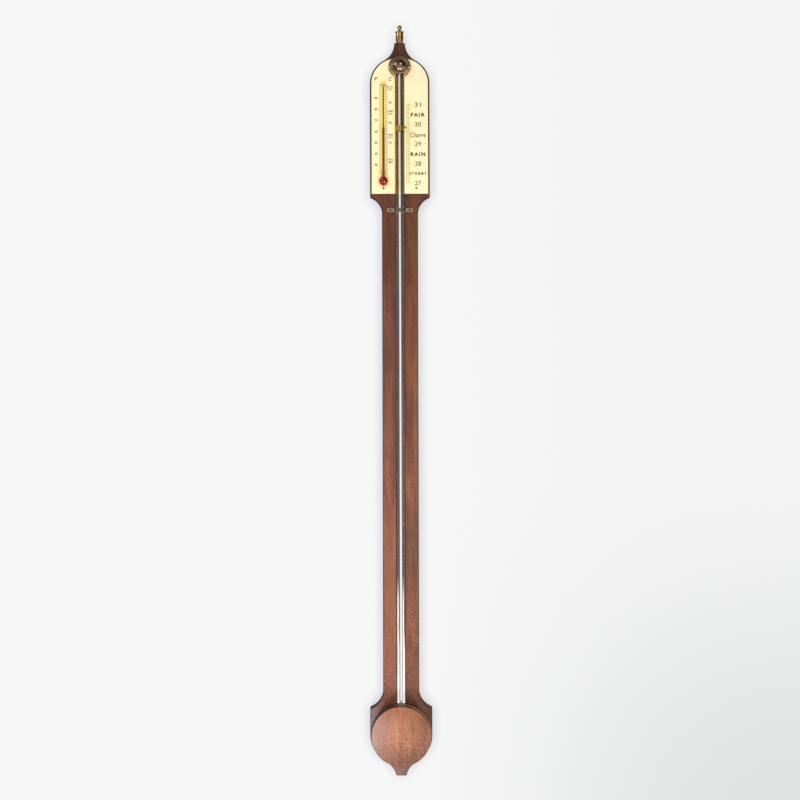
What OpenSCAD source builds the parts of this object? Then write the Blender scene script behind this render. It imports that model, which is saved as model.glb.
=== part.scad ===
// Stick barometer: a mercury tube on a narrow shaped board that hangs on a wall.
// X runs across the board, -Y points out of its front and +Z is up.
// Heights are measured from the zero of the scale, the mercury level in the cistern.
// The finished part is then lowered so that its origin is the hanging hole.

/* [Board] */
// Thickness of the board
board_t = 18; // [16:0.5:24]
// Height of the top of the neck above the scale's zero
neck_z = 863.7; // [852:0.1:880]
// Width of the neck at its top
neck_w = 13.2; // [11:0.2:18]
// Radius of the hollow curve from the neck to the head
neck_r = 24.5; // [18:0.5:26]
// Radius of the head's round shoulders
dome_r = 33; // [29:0.5:35]
// Width of the head
head_w = 74.5; // [70:0.5:84]
// Height where the hollow curves under the head meet the stem
shoulder_z = 651; // [640:0.5:660]
// Radius of the hollow curves under the head
shoulder_r = 22; // [18:0.5:26]
// Width of the stem
stem_w = 45; // [40:0.5:50]
// Height where the hollow curves above the base meet the stem
foot_z = 54.5; // [50:0.5:64]
// Radius of the hollow curves above the base
foot_r = 24; // [20:0.5:28]
// Width of the base, which ends in a half circle
base_w = 77.5; // [74:0.5:86]
// Distance of the half circle's centre below the scale's zero
base_drop = 1.2; // [0:0.1:3]
// Length of the tail below the scale's zero
tail_drop = 52; // [47:0.5:56]
// Width of the tail's flat end
tail_w = 12.5; // [8:0.5:16]
// Radius of the hollow curves from the base to the tail
tail_r = 25; // [20:0.5:30]

/* [Mercury tube] */
// Outer diameter of the glass tube
tube_od = 9.6; // [8.6:0.1:10.6]
// Bore of the glass tube
tube_bore = 3.2; // [2.4:0.1:4]
// How far the tube's axis stands in front of the board
tube_proud = 2; // [1:0.1:3]
// How far the tube's closed end stands above the centre of its cap
tube_in_cap = 4; // [2:0.5:6]
// Outer diameter of the cistern bulb
bulb_od = 19; // [17:0.2:20]
// Wall of the cistern bulb
bulb_wall = 1.2; // [0.8:0.1:1.6]
// Length of the straight part of the bulb
bulb_length = 12; // [10:0.5:14]
// Height of the scale's zero above the lower end of that straight part
zero_in_bulb = 2; // [1.5:0.1:4]
// Gap between the tube and the bulb beside it
bulb_gap = 0.8; // [0.5:0.1:1.4]
// How far the bend under the tube runs up into the bulb
bend_in = 3; // [2:0.1:4]
// Outer diameter of the bulb's vent
vent_od = 6.5; // [5.5:0.1:7.5]
// Bore of the bulb's vent
vent_bore = 3.6; // [3:0.1:4]
// Length of the vent above the bulb
vent_h = 3; // [2:0.1:3.5]
// Thickness of the head of the vent's stopper
stopper_head = 1.5; // [1:0.1:2]

/* [Reading] */
// Pressure that the cursor shows, in inches
reading = 29.82; // [27:0.01:31]
// Distance of the mercury below the end of the bore, which it all but fills when the barometer lies flat
level_drop = 2.6; // [2.4:0.1:120]
// Length of the moving top of the mercury column
meniscus_h = 5; // [3:0.5:8]
// Rise of the mercury's rounded top
meniscus_rise = 0.5; // [0.2:0.1:0.8]

/* [Cursor] */
// Height of the cursor's sleeve
sleeve_h = 7; // [5:0.5:10]
// Thickness of the sleeve's sheet
sleeve_t = 0.5; // [0.4:0.05:0.8]
// Width of the slit in the sleeve's back
sleeve_slit = 1.2; // [0.8:0.1:2]
// Height of the pointer above the sleeve's middle
pointer_up = 1.2; // [0:0.1:1.5]
// Reach of the pointer beyond the sleeve
pointer_reach = 3.6; // [2:0.1:6]
// Height of the pointer at its root
pointer_w = 3.2; // [2:0.1:4]
// Thickness of the pointer
pointer_t = 0.8; // [0.5:0.1:1.2]
// Gap between the pointer and the scale plate
pointer_gap = 0.4; // [0.3:0.05:0.8]

/* [Tube cap] */
// Height of the cap's centre above that of the shoulders' curves
cap_rise = 20.5; // [18:0.5:24]
// Radius of the cap's flange
cap_r = 14; // [13:0.2:15]
// Thickness of the cap's flange
cap_flange_t = 1.8; // [1.2:0.1:2.4]
// Radius of the spigot that stands on the board between the plates
cap_spigot_r = 9; // [8:0.1:10]
// Radius of the cap's drum
cap_drum_r = 9.8; // [8.6:0.1:10]
// Height of the drum above the flange
cap_drum_h = 7.6; // [7:0.1:9]
// Radius of the dome on the drum
cap_dome_r = 7.9; // [6.4:0.1:8]
// Height of the dome
cap_dome_h = 4.1; // [2:0.1:5]
// Distance of the cap's pins from its centre
cap_pin_x = 12.3; // [12:0.1:12.6]

/* [Finial] */
// Radius of the finial's urn
urn_r = 4.8; // [4:0.1:5.6]
// Radius of the urn's outline
urn_arc_r = 32; // [22:1:40]
// Height of the urn
urn_h = 14.8; // [11:0.2:16]
// Radius of the rim on the urn
rim_r = 5.5; // [5:0.1:6.5]
// Thickness of the rim
rim_t = 1.3; // [1:0.1:2]
// Height of the hollow cone on the rim
lid_h = 2.8; // [2.6:0.1:5]
// Radius of the finial's neck under its ball
finial_neck_r = 1.6; // [1.2:0.1:2]
// Radius of the ball
ball_r = 2.9; // [2.2:0.1:3.6]
// Radius of the stud
stud_r = 1.5; // [1:0.1:2]
// Length of the stud in the finial
stud_up = 7; // [5:0.5:9]
// Length of the stud in the neck
stud_down = 11; // [8:0.5:14]

/* [Plates] */
// Thickness of the two plates
plate_t = 2; // [1.4:0.1:2.6]
// Bare wood beside and above the plates
plate_border = 2; // [1.4:0.1:4]
// Bare wood below the plates
plate_foot = 3.5; // [2:0.1:6]
// Height of the pins above the lower edge of the plates
plate_pin_rise = 6.6; // [5:0.2:7.4]

/* [Thermometer] */
// Diameter of the thermometer's tube
stem_od = 4.4; // [3.8:0.1:5]
// Bore of the thermometer's tube
stem_bore = 1; // [0.6:0.1:1.4]
// Diameter of the thermometer's bulb
thermo_bulb_od = 10.6; // [8.6:0.1:10.6]
// Wall of the thermometer's bulb
thermo_bulb_wall = 0.5; // [0.5:0.1:1]
// Height of the bulb's centre above the lower edge of the plate
thermo_rise = 15.6; // [14.6:0.2:18]
// Length of the thermometer from its bulb's centre to its top
thermo_len = 122.5; // [110:0.5:126]
// Height of the spirit above the bulb's centre
spirit_h = 66.5; // [40:0.5:90]
// Length of the moving top of the spirit
spirit_top_h = 4; // [2:0.5:6]
// Length of the sealed tip under the bulb
tip_h = 1.6; // [1:0.1:2]
// Diameter of the staples' wire
staple_wire = 0.9; // [0.6:0.1:1.2]
// Height of the lower staple above the bulb's centre
staple_low = 10; // [8:0.5:14]
// Distance of the upper staple below the top of the thermometer
staple_top = 3; // [2:0.5:6]
// Depth of the staples' legs in the board
staple_depth = 4; // [3:0.5:6]

/* [Tube clip] */
// Height of the clip above the lower end of the head's hollow curves
clip_rise = 3.8; // [0:0.2:12]
// Width of the clip over both tabs
clip_w = 32.4; // [30:0.2:36]
// Height of the clip's tabs
clip_h = 5.2; // [4.6:0.1:6]
// Height of the clip's strap over the tube
clip_waist = 4.2; // [3.4:0.1:4.6]
// Thickness of the clip
clip_t = 1.1; // [0.8:0.1:1.5]
// Distance between the clip's screws
clip_pitch = 24.4; // [23:0.2:26]
// Thickness of the felt between clip and tube
liner_t = 0.8; // [0.5:0.1:1]
// How far the felt cushion under the tube runs past the clip, above and below
cushion_over = 2; // [0:0.5:6]

/* [Cistern cover] */
// Radius of the cover
cover_r = 37; // [36:0.2:37.4]
// Depth of the cover
cover_depth = 29; // [26:0.5:34]
// Height of the cover's centre above the scale's zero
cover_rise = 2.2; // [1.4:0.1:3.2]
// Radius of the cover's hollow
hollow_r = 30; // [29.4:0.1:30.4]
// Depth of the cover's hollow
hollow_depth = 18; // [16:0.5:20]
// Radius of the cover's front edge
cover_edge_r = 1.1; // [0.6:0.1:2]
// Distance of the bead from the board
bead_depth = 14; // [8:0.5:20]
// Radius of the bead
bead_r = 0.9; // [0.6:0.1:1.2]
// How far the bead stands out
bead_out = 0.6; // [0.3:0.1:0.8]
// Radius of the pocket in the board behind the cover
pocket_r = 28.6; // [28.2:0.1:29.2]
// Depth of that pocket
pocket_depth = 10; // [9.5:0.1:11]
// Width of the two pads that hold the bulb
pad_w = 14; // [10:0.5:16]
// Height of the two pads
pad_h = 10; // [6:0.5:11]
// Depth to which the pads clasp the bulb
pad_clasp = 2; // [1:0.1:3]

/* [Hanging plate] */
// Height of the hanging hole above the scale's zero
hang_z = 800; // [790:1:808]
// Width of the hanging plate
hanger_w = 46; // [44:1:54]
// Height of the hanging plate
hanger_h = 17; // [16:0.5:22]
// Thickness of the hanging plate
hanger_t = 2; // [1.5:0.1:3]
// Radius of the hanging hole
hang_hole_r = 4; // [3.5:0.1:4.5]
// Width of the slot above the hanging hole
hang_slot_w = 3.6; // [3:0.1:4.4]
// Length of the slot above the hole's centre
hang_slot_l = 7; // [6:0.1:7.4]
// Depth of the hollow for the nail's head behind the plate
nail_depth = 6; // [5:0.5:7]
// Distance of the plate's screws from the hole
hanger_screw_x = 17; // [16:0.5:18]

/* [Fasteners] */
// Radius of the small pins
pin_r = 0.8; // [0.6:0.1:1]
// Radius of the small pins' heads
pin_head_r = 1.3; // [1.1:0.1:1.5]
// Depth of the small pins in the board
pin_depth = 8; // [6:0.5:9]
// Radius of the clip's screws
clip_screw_r = 1.2; // [1:0.1:1.4]
// Radius of the clip's screw heads
clip_screw_head_r = 1.9; // [1.6:0.1:2.2]
// Depth of the clip's screws in the board
clip_screw_depth = 9; // [7:0.5:12]
// Radius of the hanging plate's screws
hanger_screw_r = 1.3; // [1:0.1:1.6]
// Length of the hanging plate's screws
hanger_screw_l = 11; // [9:0.5:12]
// Radius of the cover's screws
cover_screw_r = 1.5; // [1.2:0.1:1.8]
// Depth of the cover's screws in the cover
cover_screw_depth = 11; // [8:0.5:14]

/* [Clearances] */
// Gap round pins, screws, liquids and pads
fit_gap = 0.05; // [0.03:0.01:0.1]
// Gap between the cursor's sleeve and the tube
slide_gap = 0.08; // [0.04:0.01:0.1]
// Gap on each side of the cursor's sleeve, to the plates
plate_gap_side = 0.35; // [0.3:0.05:0.8]
// Gap between the cursor's sleeve and the groove
groove_gap = 0.9; // [0.5:0.1:1.5]
// Gap between the tube and the slots in its cap and cover
slot_gap = 0.4; // [0.3:0.05:0.6]
// Gap round what is let into the wood
inlay_gap = 0.2; // [0.1:0.05:0.4]

/* [Hidden] */
$fn = 96;

mahogany = "#8a4f36";
turned_wood = "#b5754f";
brass = "#c79a45";
ivory = "#f5ecc4";
clear_glass = [0.85, 0.92, 0.92, 0.45];
quicksilver = "#c9ccd0";
red_spirit = "#a8201c";
grey_metal = "#a59a86";
steel = "#8d8f92";
felt = "#5d6650";

// Cuts run this far past the faces that they open
past = 1;
inch = 25.4;
mid_reading = 30;

// Outline of the board
head_x = head_w / 2;
stem_x = stem_w / 2;
base_x = base_w / 2;
neck_c = [neck_w / 2 + neck_r, neck_z];
dome_x = head_x - dome_r;
dome_z = neck_z - sqrt(pow(neck_r + dome_r, 2) - pow(neck_c.x - dome_x, 2));
dome_c = [dome_x, dome_z];
neck_touch = neck_c + (dome_c - neck_c) * neck_r / (neck_r + dome_r);
shoulder_c = [stem_x + shoulder_r, shoulder_z];
head_bottom = shoulder_z + sqrt(pow(shoulder_r, 2) - pow(shoulder_c.x - head_x, 2));
foot_c = [stem_x + foot_r, foot_z];
base_top = foot_z - sqrt(pow(foot_r, 2) - pow(foot_c.x - base_x, 2));
tail_end = [tail_w / 2, -tail_drop];
base_c = [0, -base_drop];
tail_c = base_c + outer_corner(base_x + tail_r, tail_end - base_c, tail_r);
tail_touch = base_c + (tail_c - base_c) * base_x / (base_x + tail_r);

// Depths: the board's back is at y = 0, its face at y = face
face = -board_t;
tube_y = face - tube_proud;

// Mercury tube
tube_r = tube_od / 2;
bore_r = tube_bore / 2;
bulb_r = bulb_od / 2;
bulb_in_r = bulb_r - bulb_wall;
bulb_x = tube_r + bulb_gap + bulb_r;
bulb_z = -zero_in_bulb;
bulb_top = bulb_z + bulb_length + bulb_r;
bend_r = bulb_x / 2;
bend_z = bulb_z - bulb_r + bend_in;
cap_z = dome_z + cap_rise;
tube_top = cap_z + tube_in_cap;

// A scale inch is short, because the cistern's level falls as the column rises
scale_inch = inch / (1 + pow(bore_r / bulb_in_r, 2));
reading_z = mid_reading * inch + (reading - mid_reading) * scale_inch;
level_z = tube_top - tube_r + bore_r - level_drop;
meniscus_z = level_z - meniscus_h;
// The pool sinks a little as the column rises
pool_z = reading_z - reading * inch - (level_z - reading_z) * pow(bore_r / bulb_in_r, 2);

// Cursor, groove and plates
sleeve_in = tube_r + slide_gap;
sleeve_out = sleeve_in + sleeve_t;
groove_r = sleeve_out + groove_gap;
plate_in = sleeve_out + plate_gap_side;
plate_out = head_x - plate_border;
plate_mid = (plate_in + plate_out) / 2;
plate_z = head_bottom + plate_foot;
slot_r = tube_r + slot_gap;

// Cap, by distance from the board's face
cap_flange_top = plate_t + cap_flange_t;
cap_drum_top = cap_flange_top + cap_drum_h;
pin_head_h = 0.9;
// The hollow moulding between flange and drum ends at the heads of the pins
cap_cove_r = cap_pin_x - pin_head_r - cap_drum_r - fit_gap;

// Finial, by height above the neck
rim_z = urn_h + rim_t;
ball_z = rim_z + lid_h + ball_r * 0.8;

// Thermometer
stem_r = stem_od / 2;
stem_bore_r = stem_bore / 2;
thermo_bulb_r = thermo_bulb_od / 2;
thermo_bulb_in_r = thermo_bulb_r - thermo_bulb_wall;
thermo_x = -plate_mid;
thermo_z = plate_z + thermo_rise;
thermo_top = thermo_z + thermo_len;
thermo_out = plate_t + fit_gap + stem_r;
thermo_y = face - thermo_out;
thermo_hole_r = thermo_bulb_r + inlay_gap;
spirit_z = thermo_z + spirit_h;
column_z = thermo_z + thermo_bulb_r;
staple_r = staple_wire / 2;
staple_arch_r = stem_r + fit_gap + staple_r;
staple_heights = [thermo_z + staple_low, thermo_top - staple_top];

// Clip
clip_z = shoulder_z + clip_rise;
liner_in = tube_r + fit_gap;
clip_in = liner_in + liner_t + fit_gap;
clip_out = clip_in + clip_t;
clip_screw_head_h = 1.2;

// Cover
cover_screw_x = (hollow_r + cover_r) / 2;
cover_head_r = cover_screw_r * 2;
notch_r = tube_r + slot_gap;
pad_z = bulb_z + bulb_length / 2;

// Hanging plate
hanger_screw_head_r = hanger_screw_r * 2;
nail_r = hang_hole_r + past;

// Centre of the circle of radius r that passes through p and lies at distance d
// from the origin, on the right
function outer_corner(d, p, r) =
  let (l = norm(p), along = (d * d - r * r + l * l) / (2 * l), side = sqrt(d * d - along * along))
  p * along / l + [-p.y, p.x] * side / l;

// The part's own frame starts at the hanging hole
module hung() {
  translate([0, 0, -hang_z]) children();
}

// A flat shape drawn in X and Z, from distance out of the board's face, t thick
module sheet(out, t) {
  translate([0, face - out, 0]) rotate([90, 0, 0]) linear_extrude(t) children();
}

// A profile drawn in radius and distance from the board's face, turned about a line out of it
module turned(x, z) {
  translate([x, face, z]) rotate([90, 0, 0]) rotate_extrude() children();
}

// A hole or shank square to the board, from distance out inwards by depth
module across(x, z, r, out, depth) {
  translate([x, face - out, z]) rotate([-90, 0, 0]) cylinder(r = r, h = depth);
}

// A rod along the mercury tube's axis, or beside it
module along_tube(r, z0, z1, x = 0) {
  translate([x, tube_y, z0]) cylinder(r = r, h = z1 - z0);
}

// A rod along the thermometer's axis
module along_thermometer(r, z0, z1) {
  translate([thermo_x, thermo_y, z0]) cylinder(r = r, h = z1 - z0);
}

module both_sides() {
  children();
  mirror([1, 0, 0]) children();
}

// Right half of the board between its curves, with the curves' centres as corners
function board_half() =
  [[0, -tail_drop], tail_end, tail_c, tail_touch, [base_x, -base_drop], [base_x, base_top], foot_c,
   [stem_x, foot_z], [stem_x, shoulder_z], shoulder_c, [head_x, head_bottom], [head_x, dome_z],
   dome_c, neck_touch, neck_c, [neck_w / 2, neck_z], [0, neck_z]];

module board_outline() {
  difference() {
    both_sides() {
      polygon(board_half());
      translate(dome_c) circle(r = dome_r);
      translate(base_c) circle(r = base_x);
    }
    both_sides() {
      translate(neck_c) circle(r = neck_r);
      translate(shoulder_c) circle(r = shoulder_r);
      translate(foot_c) circle(r = foot_r);
      translate(tail_c) circle(r = tail_r);
    }
  }
}

// Outline of one plate, on the side of +X
module plate_outline() {
  difference() {
    intersection() {
      union() {
        translate([0, plate_z]) square([plate_out, dome_z - plate_z]);
        translate(dome_c) circle(r = dome_r - plate_border);
      }
      translate([plate_in, plate_z]) square([plate_out, neck_z - plate_z]);
    }
    translate([0, cap_z]) circle(r = cap_spigot_r + inlay_gap);
  }
}

module pin_holes(r, depth) {
  both_sides() {
    across(plate_mid, plate_z + plate_pin_rise, r, plate_t + past, depth + plate_t + past);
    across(cap_pin_x, cap_z, r, cap_flange_top + past, depth + cap_flange_top + past);
  }
}

module staple_legs(r, out) {
  for (z = staple_heights)
    for (side = [-1, 1])
      across(thermo_x + side * staple_arch_r, z, r, out, out + staple_depth);
}

// Countersunk hole or screw from the board's back: head flush at depth sunk
module countersunk(x, z, r, head_r, sunk, l) {
  translate([x, -sunk, z]) rotate([90, 0, 0]) {
    cylinder(r1 = head_r, r2 = r, h = head_r - r);
    cylinder(r = r, h = l);
  }
}

module hanger_outline(gap = 0) {
  r = hanger_h / 2;
  translate([-hanger_w / 2 + r, -r - gap]) square([hanger_w - 2 * r, hanger_h + 2 * gap]);
  for (side = [-1, 1])
    translate([side * (hanger_w / 2 - r), 0]) circle(r = r + gap);
}

// A flat shape let into the back, drawn in X and Z about the hanging hole
module let_in(sunk, t) {
  translate([0, -sunk, hang_z]) rotate([90, 0, 0]) linear_extrude(t) children();
}

module trunk() {
  color(mahogany) hung() difference() {
    sheet(-board_t, board_t) board_outline();
    along_tube(groove_r, 0, tube_top + past);
    across(0, cover_rise, pocket_r, past, pocket_depth + past);
    across(thermo_x, thermo_z, thermo_hole_r, past, thermo_bulb_r - thermo_out + past + inlay_gap);
    pin_holes(pin_r + fit_gap, pin_depth + fit_gap);
    staple_legs(staple_r + fit_gap, past);
    translate([0, face / 2, neck_z - stud_down - fit_gap])
      cylinder(r = stud_r + fit_gap, h = stud_down + past);
    for (side = [-1, 1]) {
      across(side * clip_pitch / 2, clip_z, clip_screw_r + fit_gap, past, clip_screw_depth + past);
      countersunk(side * cover_screw_x, cover_rise, cover_screw_r + fit_gap, cover_head_r + fit_gap,
                  inlay_gap, board_t + past);
      translate([side * cover_screw_x, 0, cover_rise]) rotate([90, 0, 0])
        cylinder(r = cover_head_r + fit_gap, h = inlay_gap);
      countersunk(side * hanger_screw_x, hang_z, hanger_screw_r + fit_gap, hanger_screw_head_r,
                  inlay_gap, hanger_screw_l + fit_gap);
    }
    let_in(-past, hanger_t + inlay_gap + past) hanger_outline(inlay_gap);
    let_in(0, hanger_t + nail_depth) {
      circle(r = nail_r);
      translate([-nail_r, 0]) square([2 * nail_r, hang_slot_l]);
      translate([0, hang_slot_l]) circle(r = nail_r);
    }
  }
}

module finial_profile() {
  intersection() {
    translate([urn_r - urn_arc_r, urn_h * 0.6]) circle(r = urn_arc_r);
    square([urn_r, urn_h]);
  }
  translate([0, urn_h]) square([rim_r - rim_t / 2, rim_t]);
  translate([rim_r - rim_t / 2, urn_h + rim_t / 2]) circle(r = rim_t / 2);
  difference() {
    translate([0, rim_z]) square([rim_r - rim_t, lid_h]);
    translate([finial_neck_r + lid_h, rim_z + lid_h]) circle(r = lid_h);
  }
  translate([0, rim_z + lid_h]) square([finial_neck_r, ball_r * 0.8]);
  intersection() {
    translate([0, ball_z]) circle(r = ball_r);
    translate([0, ball_z - ball_r]) square([ball_r, 2 * ball_r]);
  }
}

module finial() {
  color(brass) hung() translate([0, face / 2, neck_z]) difference() {
    rotate_extrude() finial_profile();
    translate([0, 0, -past]) cylinder(r = stud_r + fit_gap, h = stud_up + fit_gap + past);
  }
}

module finial_stud() {
  color(steel) hung() translate([0, face / 2, neck_z - stud_down])
    cylinder(r = stud_r, h = stud_down + stud_up);
}

module cap_profile() {
  edge_r = cap_flange_t / 2;
  rim_step = 0.9;
  square([cap_spigot_r, plate_t]);
  translate([0, plate_t]) square([cap_r - edge_r, cap_flange_t]);
  translate([cap_r - edge_r, plate_t + edge_r]) circle(r = edge_r);
  difference() {
    translate([0, cap_flange_top]) square([cap_drum_r + cap_cove_r, cap_cove_r]);
    translate([cap_drum_r + cap_cove_r, cap_flange_top + cap_cove_r]) circle(r = cap_cove_r);
  }
  translate([0, cap_flange_top]) square([cap_drum_r, cap_drum_h - rim_step]);
  translate([0, cap_flange_top]) square([cap_drum_r - rim_step, cap_drum_h]);
  translate([cap_drum_r - rim_step, cap_drum_top - rim_step]) circle(r = rim_step);
  cap_ball_r = (pow(cap_dome_r, 2) + pow(cap_dome_h, 2)) / (2 * cap_dome_h);
  intersection() {
    translate([0, cap_drum_top + cap_dome_h - cap_ball_r]) circle(r = cap_ball_r);
    translate([0, cap_drum_top - rim_step]) square([cap_dome_r, cap_dome_h + rim_step]);
  }
}

module tube_cap() {
  color(brass) hung() difference() {
    turned(0, cap_z) cap_profile();
    along_tube(slot_r, cap_z - cap_r - past, tube_top + slot_gap);
    translate([-slot_r, tube_y, cap_z - cap_r - past])
      cube([2 * slot_r, tube_proud + past, tube_top + slot_gap - cap_z + cap_r + past]);
    pin_holes(pin_r + fit_gap, 0);
  }
}

// Small pin with a rounded head that sits at distance out from the board's face
module pin(x, z, out) {
  turned(x, z) {
    translate([0, -pin_depth]) square([pin_r, pin_depth + out]);
    intersection() {
      translate([0, out + pin_head_h - pin_head_r * 1.6]) circle(r = pin_head_r * 1.6);
      translate([0, out]) square([pin_head_r, pin_head_h]);
    }
  }
}

module tube_cap_pins() {
  color(brass) hung() both_sides() pin(cap_pin_x, cap_z, cap_flange_top);
}

module plate_pins() {
  color(brass) hung() both_sides() pin(plate_mid, plate_z + plate_pin_rise, plate_t);
}

// Half ring under the tube and the bulb
module bend(r) {
  translate([bend_r, tube_y, bend_z]) rotate([-90, 0, 0])
    rotate_extrude(angle = 180) translate([bend_r, 0]) circle(r = r);
}

// Bulb with round ends
module bulb(r, z1) {
  along_tube(r, bulb_z, z1, bulb_x);
  translate([bulb_x, tube_y, bulb_z]) sphere(r = r);
}

module barometer_tube() {
  color(clear_glass) hung() difference() {
    union() {
      along_tube(tube_r, bend_z, tube_top - tube_r);
      translate([0, tube_y, tube_top - tube_r]) sphere(r = tube_r);
      bend(tube_r);
      along_tube(tube_r, bend_z, bulb_z, bulb_x);
      bulb(bulb_r, bulb_z + bulb_length);
      translate([bulb_x, tube_y, bulb_z + bulb_length]) sphere(r = bulb_r);
      along_tube(vent_od / 2, bulb_z + bulb_length, bulb_top + vent_h, bulb_x);
    }
    along_tube(bore_r, bend_z, tube_top - tube_r);
    translate([0, tube_y, tube_top - tube_r]) sphere(r = bore_r);
    bend(bore_r);
    along_tube(bore_r, bend_z, bulb_z, bulb_x);
    bulb(bulb_in_r, bulb_z + bulb_length);
    translate([bulb_x, tube_y, bulb_z + bulb_length]) sphere(r = bulb_in_r);
    along_tube(vent_bore / 2, bulb_z + bulb_length, bulb_top + vent_h + past, bulb_x);
  }
}

module mercury_pool() {
  color(quicksilver) hung() {
    bend(bore_r - fit_gap);
    along_tube(bore_r - fit_gap, bend_z, bulb_z, bulb_x);
    intersection() {
      bulb(bulb_in_r - fit_gap, bulb_z + bulb_length);
      translate([bulb_x - bulb_r, tube_y - bulb_r, bulb_z - bulb_r])
        cube([2 * bulb_r, 2 * bulb_r, pool_z - bulb_z + bulb_r]);
    }
  }
}

module mercury_column() {
  color(quicksilver) hung() along_tube(bore_r - fit_gap, bend_z, meniscus_z);
}

module mercury_meniscus() {
  r = bore_r - fit_gap;
  top_r = (r * r + meniscus_rise * meniscus_rise) / (2 * meniscus_rise);
  color(quicksilver) hung() translate([0, tube_y, meniscus_z]) rotate_extrude() intersection() {
    square([r, meniscus_h]);
    translate([0, meniscus_h - top_r]) circle(r = top_r);
  }
}

module cistern_stopper() {
  color(felt) hung() {
    along_tube(vent_bore / 2 - fit_gap, bulb_top, bulb_top + vent_h, bulb_x);
    along_tube(vent_od / 2, bulb_top + vent_h, bulb_top + vent_h + stopper_head, bulb_x);
  }
}

// Pad between the distances back and front, hollowed where it clasps the bulb
module pad(back, front) {
  difference() {
    sheet(back, front - back) translate([bulb_x - pad_w / 2, pad_z - pad_h / 2]) square([pad_w, pad_h]);
    along_tube(bulb_r + fit_gap, pad_z - pad_h, pad_z + pad_h, bulb_x);
  }
}

module cistern_bed() {
  color(felt) hung() pad(-pocket_depth, tube_proud - bulb_r + pad_clasp);
}

module cover_pad() {
  color(felt) hung() pad(tube_proud + bulb_r - pad_clasp, hollow_depth);
}

module cover_profile() {
  difference() {
    union() {
      square([cover_r, cover_depth - cover_edge_r]);
      square([cover_r - cover_edge_r, cover_depth]);
      translate([cover_r - cover_edge_r, cover_depth - cover_edge_r]) circle(r = cover_edge_r);
      translate([cover_r - bead_r + bead_out, bead_depth]) circle(r = bead_r);
    }
    square([hollow_r, hollow_depth]);
  }
}

module cistern_cover() {
  color(turned_wood) hung() difference() {
    turned(0, cover_rise) cover_profile();
    along_tube(notch_r, cover_rise, cover_rise + cover_r + past);
    translate([-notch_r, tube_y, cover_rise])
      cube([2 * notch_r, tube_proud + past, cover_r + past]);
    for (side = [-1, 1])
      across(side * cover_screw_x, cover_rise, cover_screw_r + fit_gap, cover_screw_depth + fit_gap,
             cover_screw_depth + past);
  }
}

module cover_screws() {
  color(steel) hung() for (side = [-1, 1])
    countersunk(side * cover_screw_x, cover_rise, cover_screw_r, cover_head_r, inlay_gap,
                board_t + cover_screw_depth - inlay_gap);
}

// Section of a strap over the tube, drawn in X and distance from the board's face
module arch_section(r_out, r_in, out) {
  difference() {
    union() {
      translate([0, tube_proud]) circle(r = r_out);
      translate([-r_out, out]) square([2 * r_out, tube_proud - out]);
      children();
    }
    translate([0, tube_proud]) circle(r = r_in);
    translate([-r_in, out - past]) square([2 * r_in, tube_proud - out + past]);
    translate([-clip_w, out - clip_w]) square([2 * clip_w, clip_w]);
  }
}

module clip_outline() {
  translate([-clip_w / 2, clip_z - clip_waist / 2]) square([clip_w, clip_waist]);
  for (side = [-1, 1]) {
    translate([side * (clip_w - clip_h) / 2, clip_z]) circle(r = clip_h / 2);
    translate([side * clip_pitch / 2 - clip_screw_head_r, clip_z - clip_h / 2])
      square([2 * clip_screw_head_r, clip_h]);
  }
}

module tube_clip() {
  color(grey_metal) hung() difference() {
    intersection() {
      translate([0, face, clip_z - clip_h / 2]) mirror([0, 1, 0]) linear_extrude(clip_h)
        arch_section(clip_out, clip_in, 0) translate([-clip_w / 2, 0]) square([clip_w, clip_t]);
      sheet(0, tube_proud + clip_out) intersection() {
        clip_outline();
        translate([-clip_w / 2, clip_z - clip_h / 2]) square([clip_w, clip_h]);
      }
    }
    for (side = [-1, 1])
      across(side * clip_pitch / 2, clip_z, clip_screw_r + fit_gap, clip_t + past, clip_t + 2 * past);
  }
}

module clip_liner() {
  color(felt) hung() translate([0, face, clip_z - clip_waist / 2]) mirror([0, 1, 0])
    linear_extrude(clip_waist) arch_section(liner_in + liner_t, liner_in, 0);
}

module tube_cushion() {
  h = clip_h + 2 * cushion_over;
  color(felt) hung() intersection() {
    difference() {
      along_tube(groove_r - fit_gap, clip_z - h / 2, clip_z + h / 2);
      along_tube(tube_r + fit_gap, clip_z - h, clip_z + h);
    }
    translate([-groove_r, face + fit_gap, clip_z - h]) cube([2 * groove_r, board_t, 2 * h]);
  }
}

module clip_screws() {
  dome = clip_screw_head_r * 1.7;
  color(grey_metal) hung() for (side = [-1, 1])
    turned(side * clip_pitch / 2, clip_z) {
      translate([0, -clip_screw_depth]) square([clip_screw_r, clip_screw_depth + clip_t]);
      intersection() {
        translate([0, clip_t + clip_screw_head_h - dome]) circle(r = dome);
        translate([0, clip_t]) square([clip_screw_head_r, clip_screw_head_h]);
      }
    }
}

module cursor_sleeve() {
  z0 = reading_z - pointer_up - sleeve_h / 2;
  color(brass) hung() difference() {
    along_tube(sleeve_out, z0, z0 + sleeve_h);
    along_tube(sleeve_in, z0 - past, z0 + sleeve_h + past);
    translate([-sleeve_slit / 2, tube_y, z0 - past])
      cube([sleeve_slit, sleeve_out + past, sleeve_h + 2 * past]);
  }
}

module cursor_pointer() {
  root_x = sleeve_in;
  color(brass) hung() difference() {
    sheet(plate_t + pointer_gap, pointer_t) translate([0, reading_z])
      polygon([[root_x, -pointer_w / 2], [sleeve_out + pointer_reach, 0], [root_x, pointer_w / 2]]);
    along_tube(sleeve_out, reading_z - pointer_w, reading_z + pointer_w);
  }
}

module plate() {
  difference() {
    sheet(0, plate_t) children();
    pin_holes(pin_r + fit_gap, 0);
    across(thermo_x, thermo_z, thermo_hole_r, plate_t + past, plate_t + 2 * past);
    staple_legs(staple_r + fit_gap, plate_t + past);
  }
}

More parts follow.
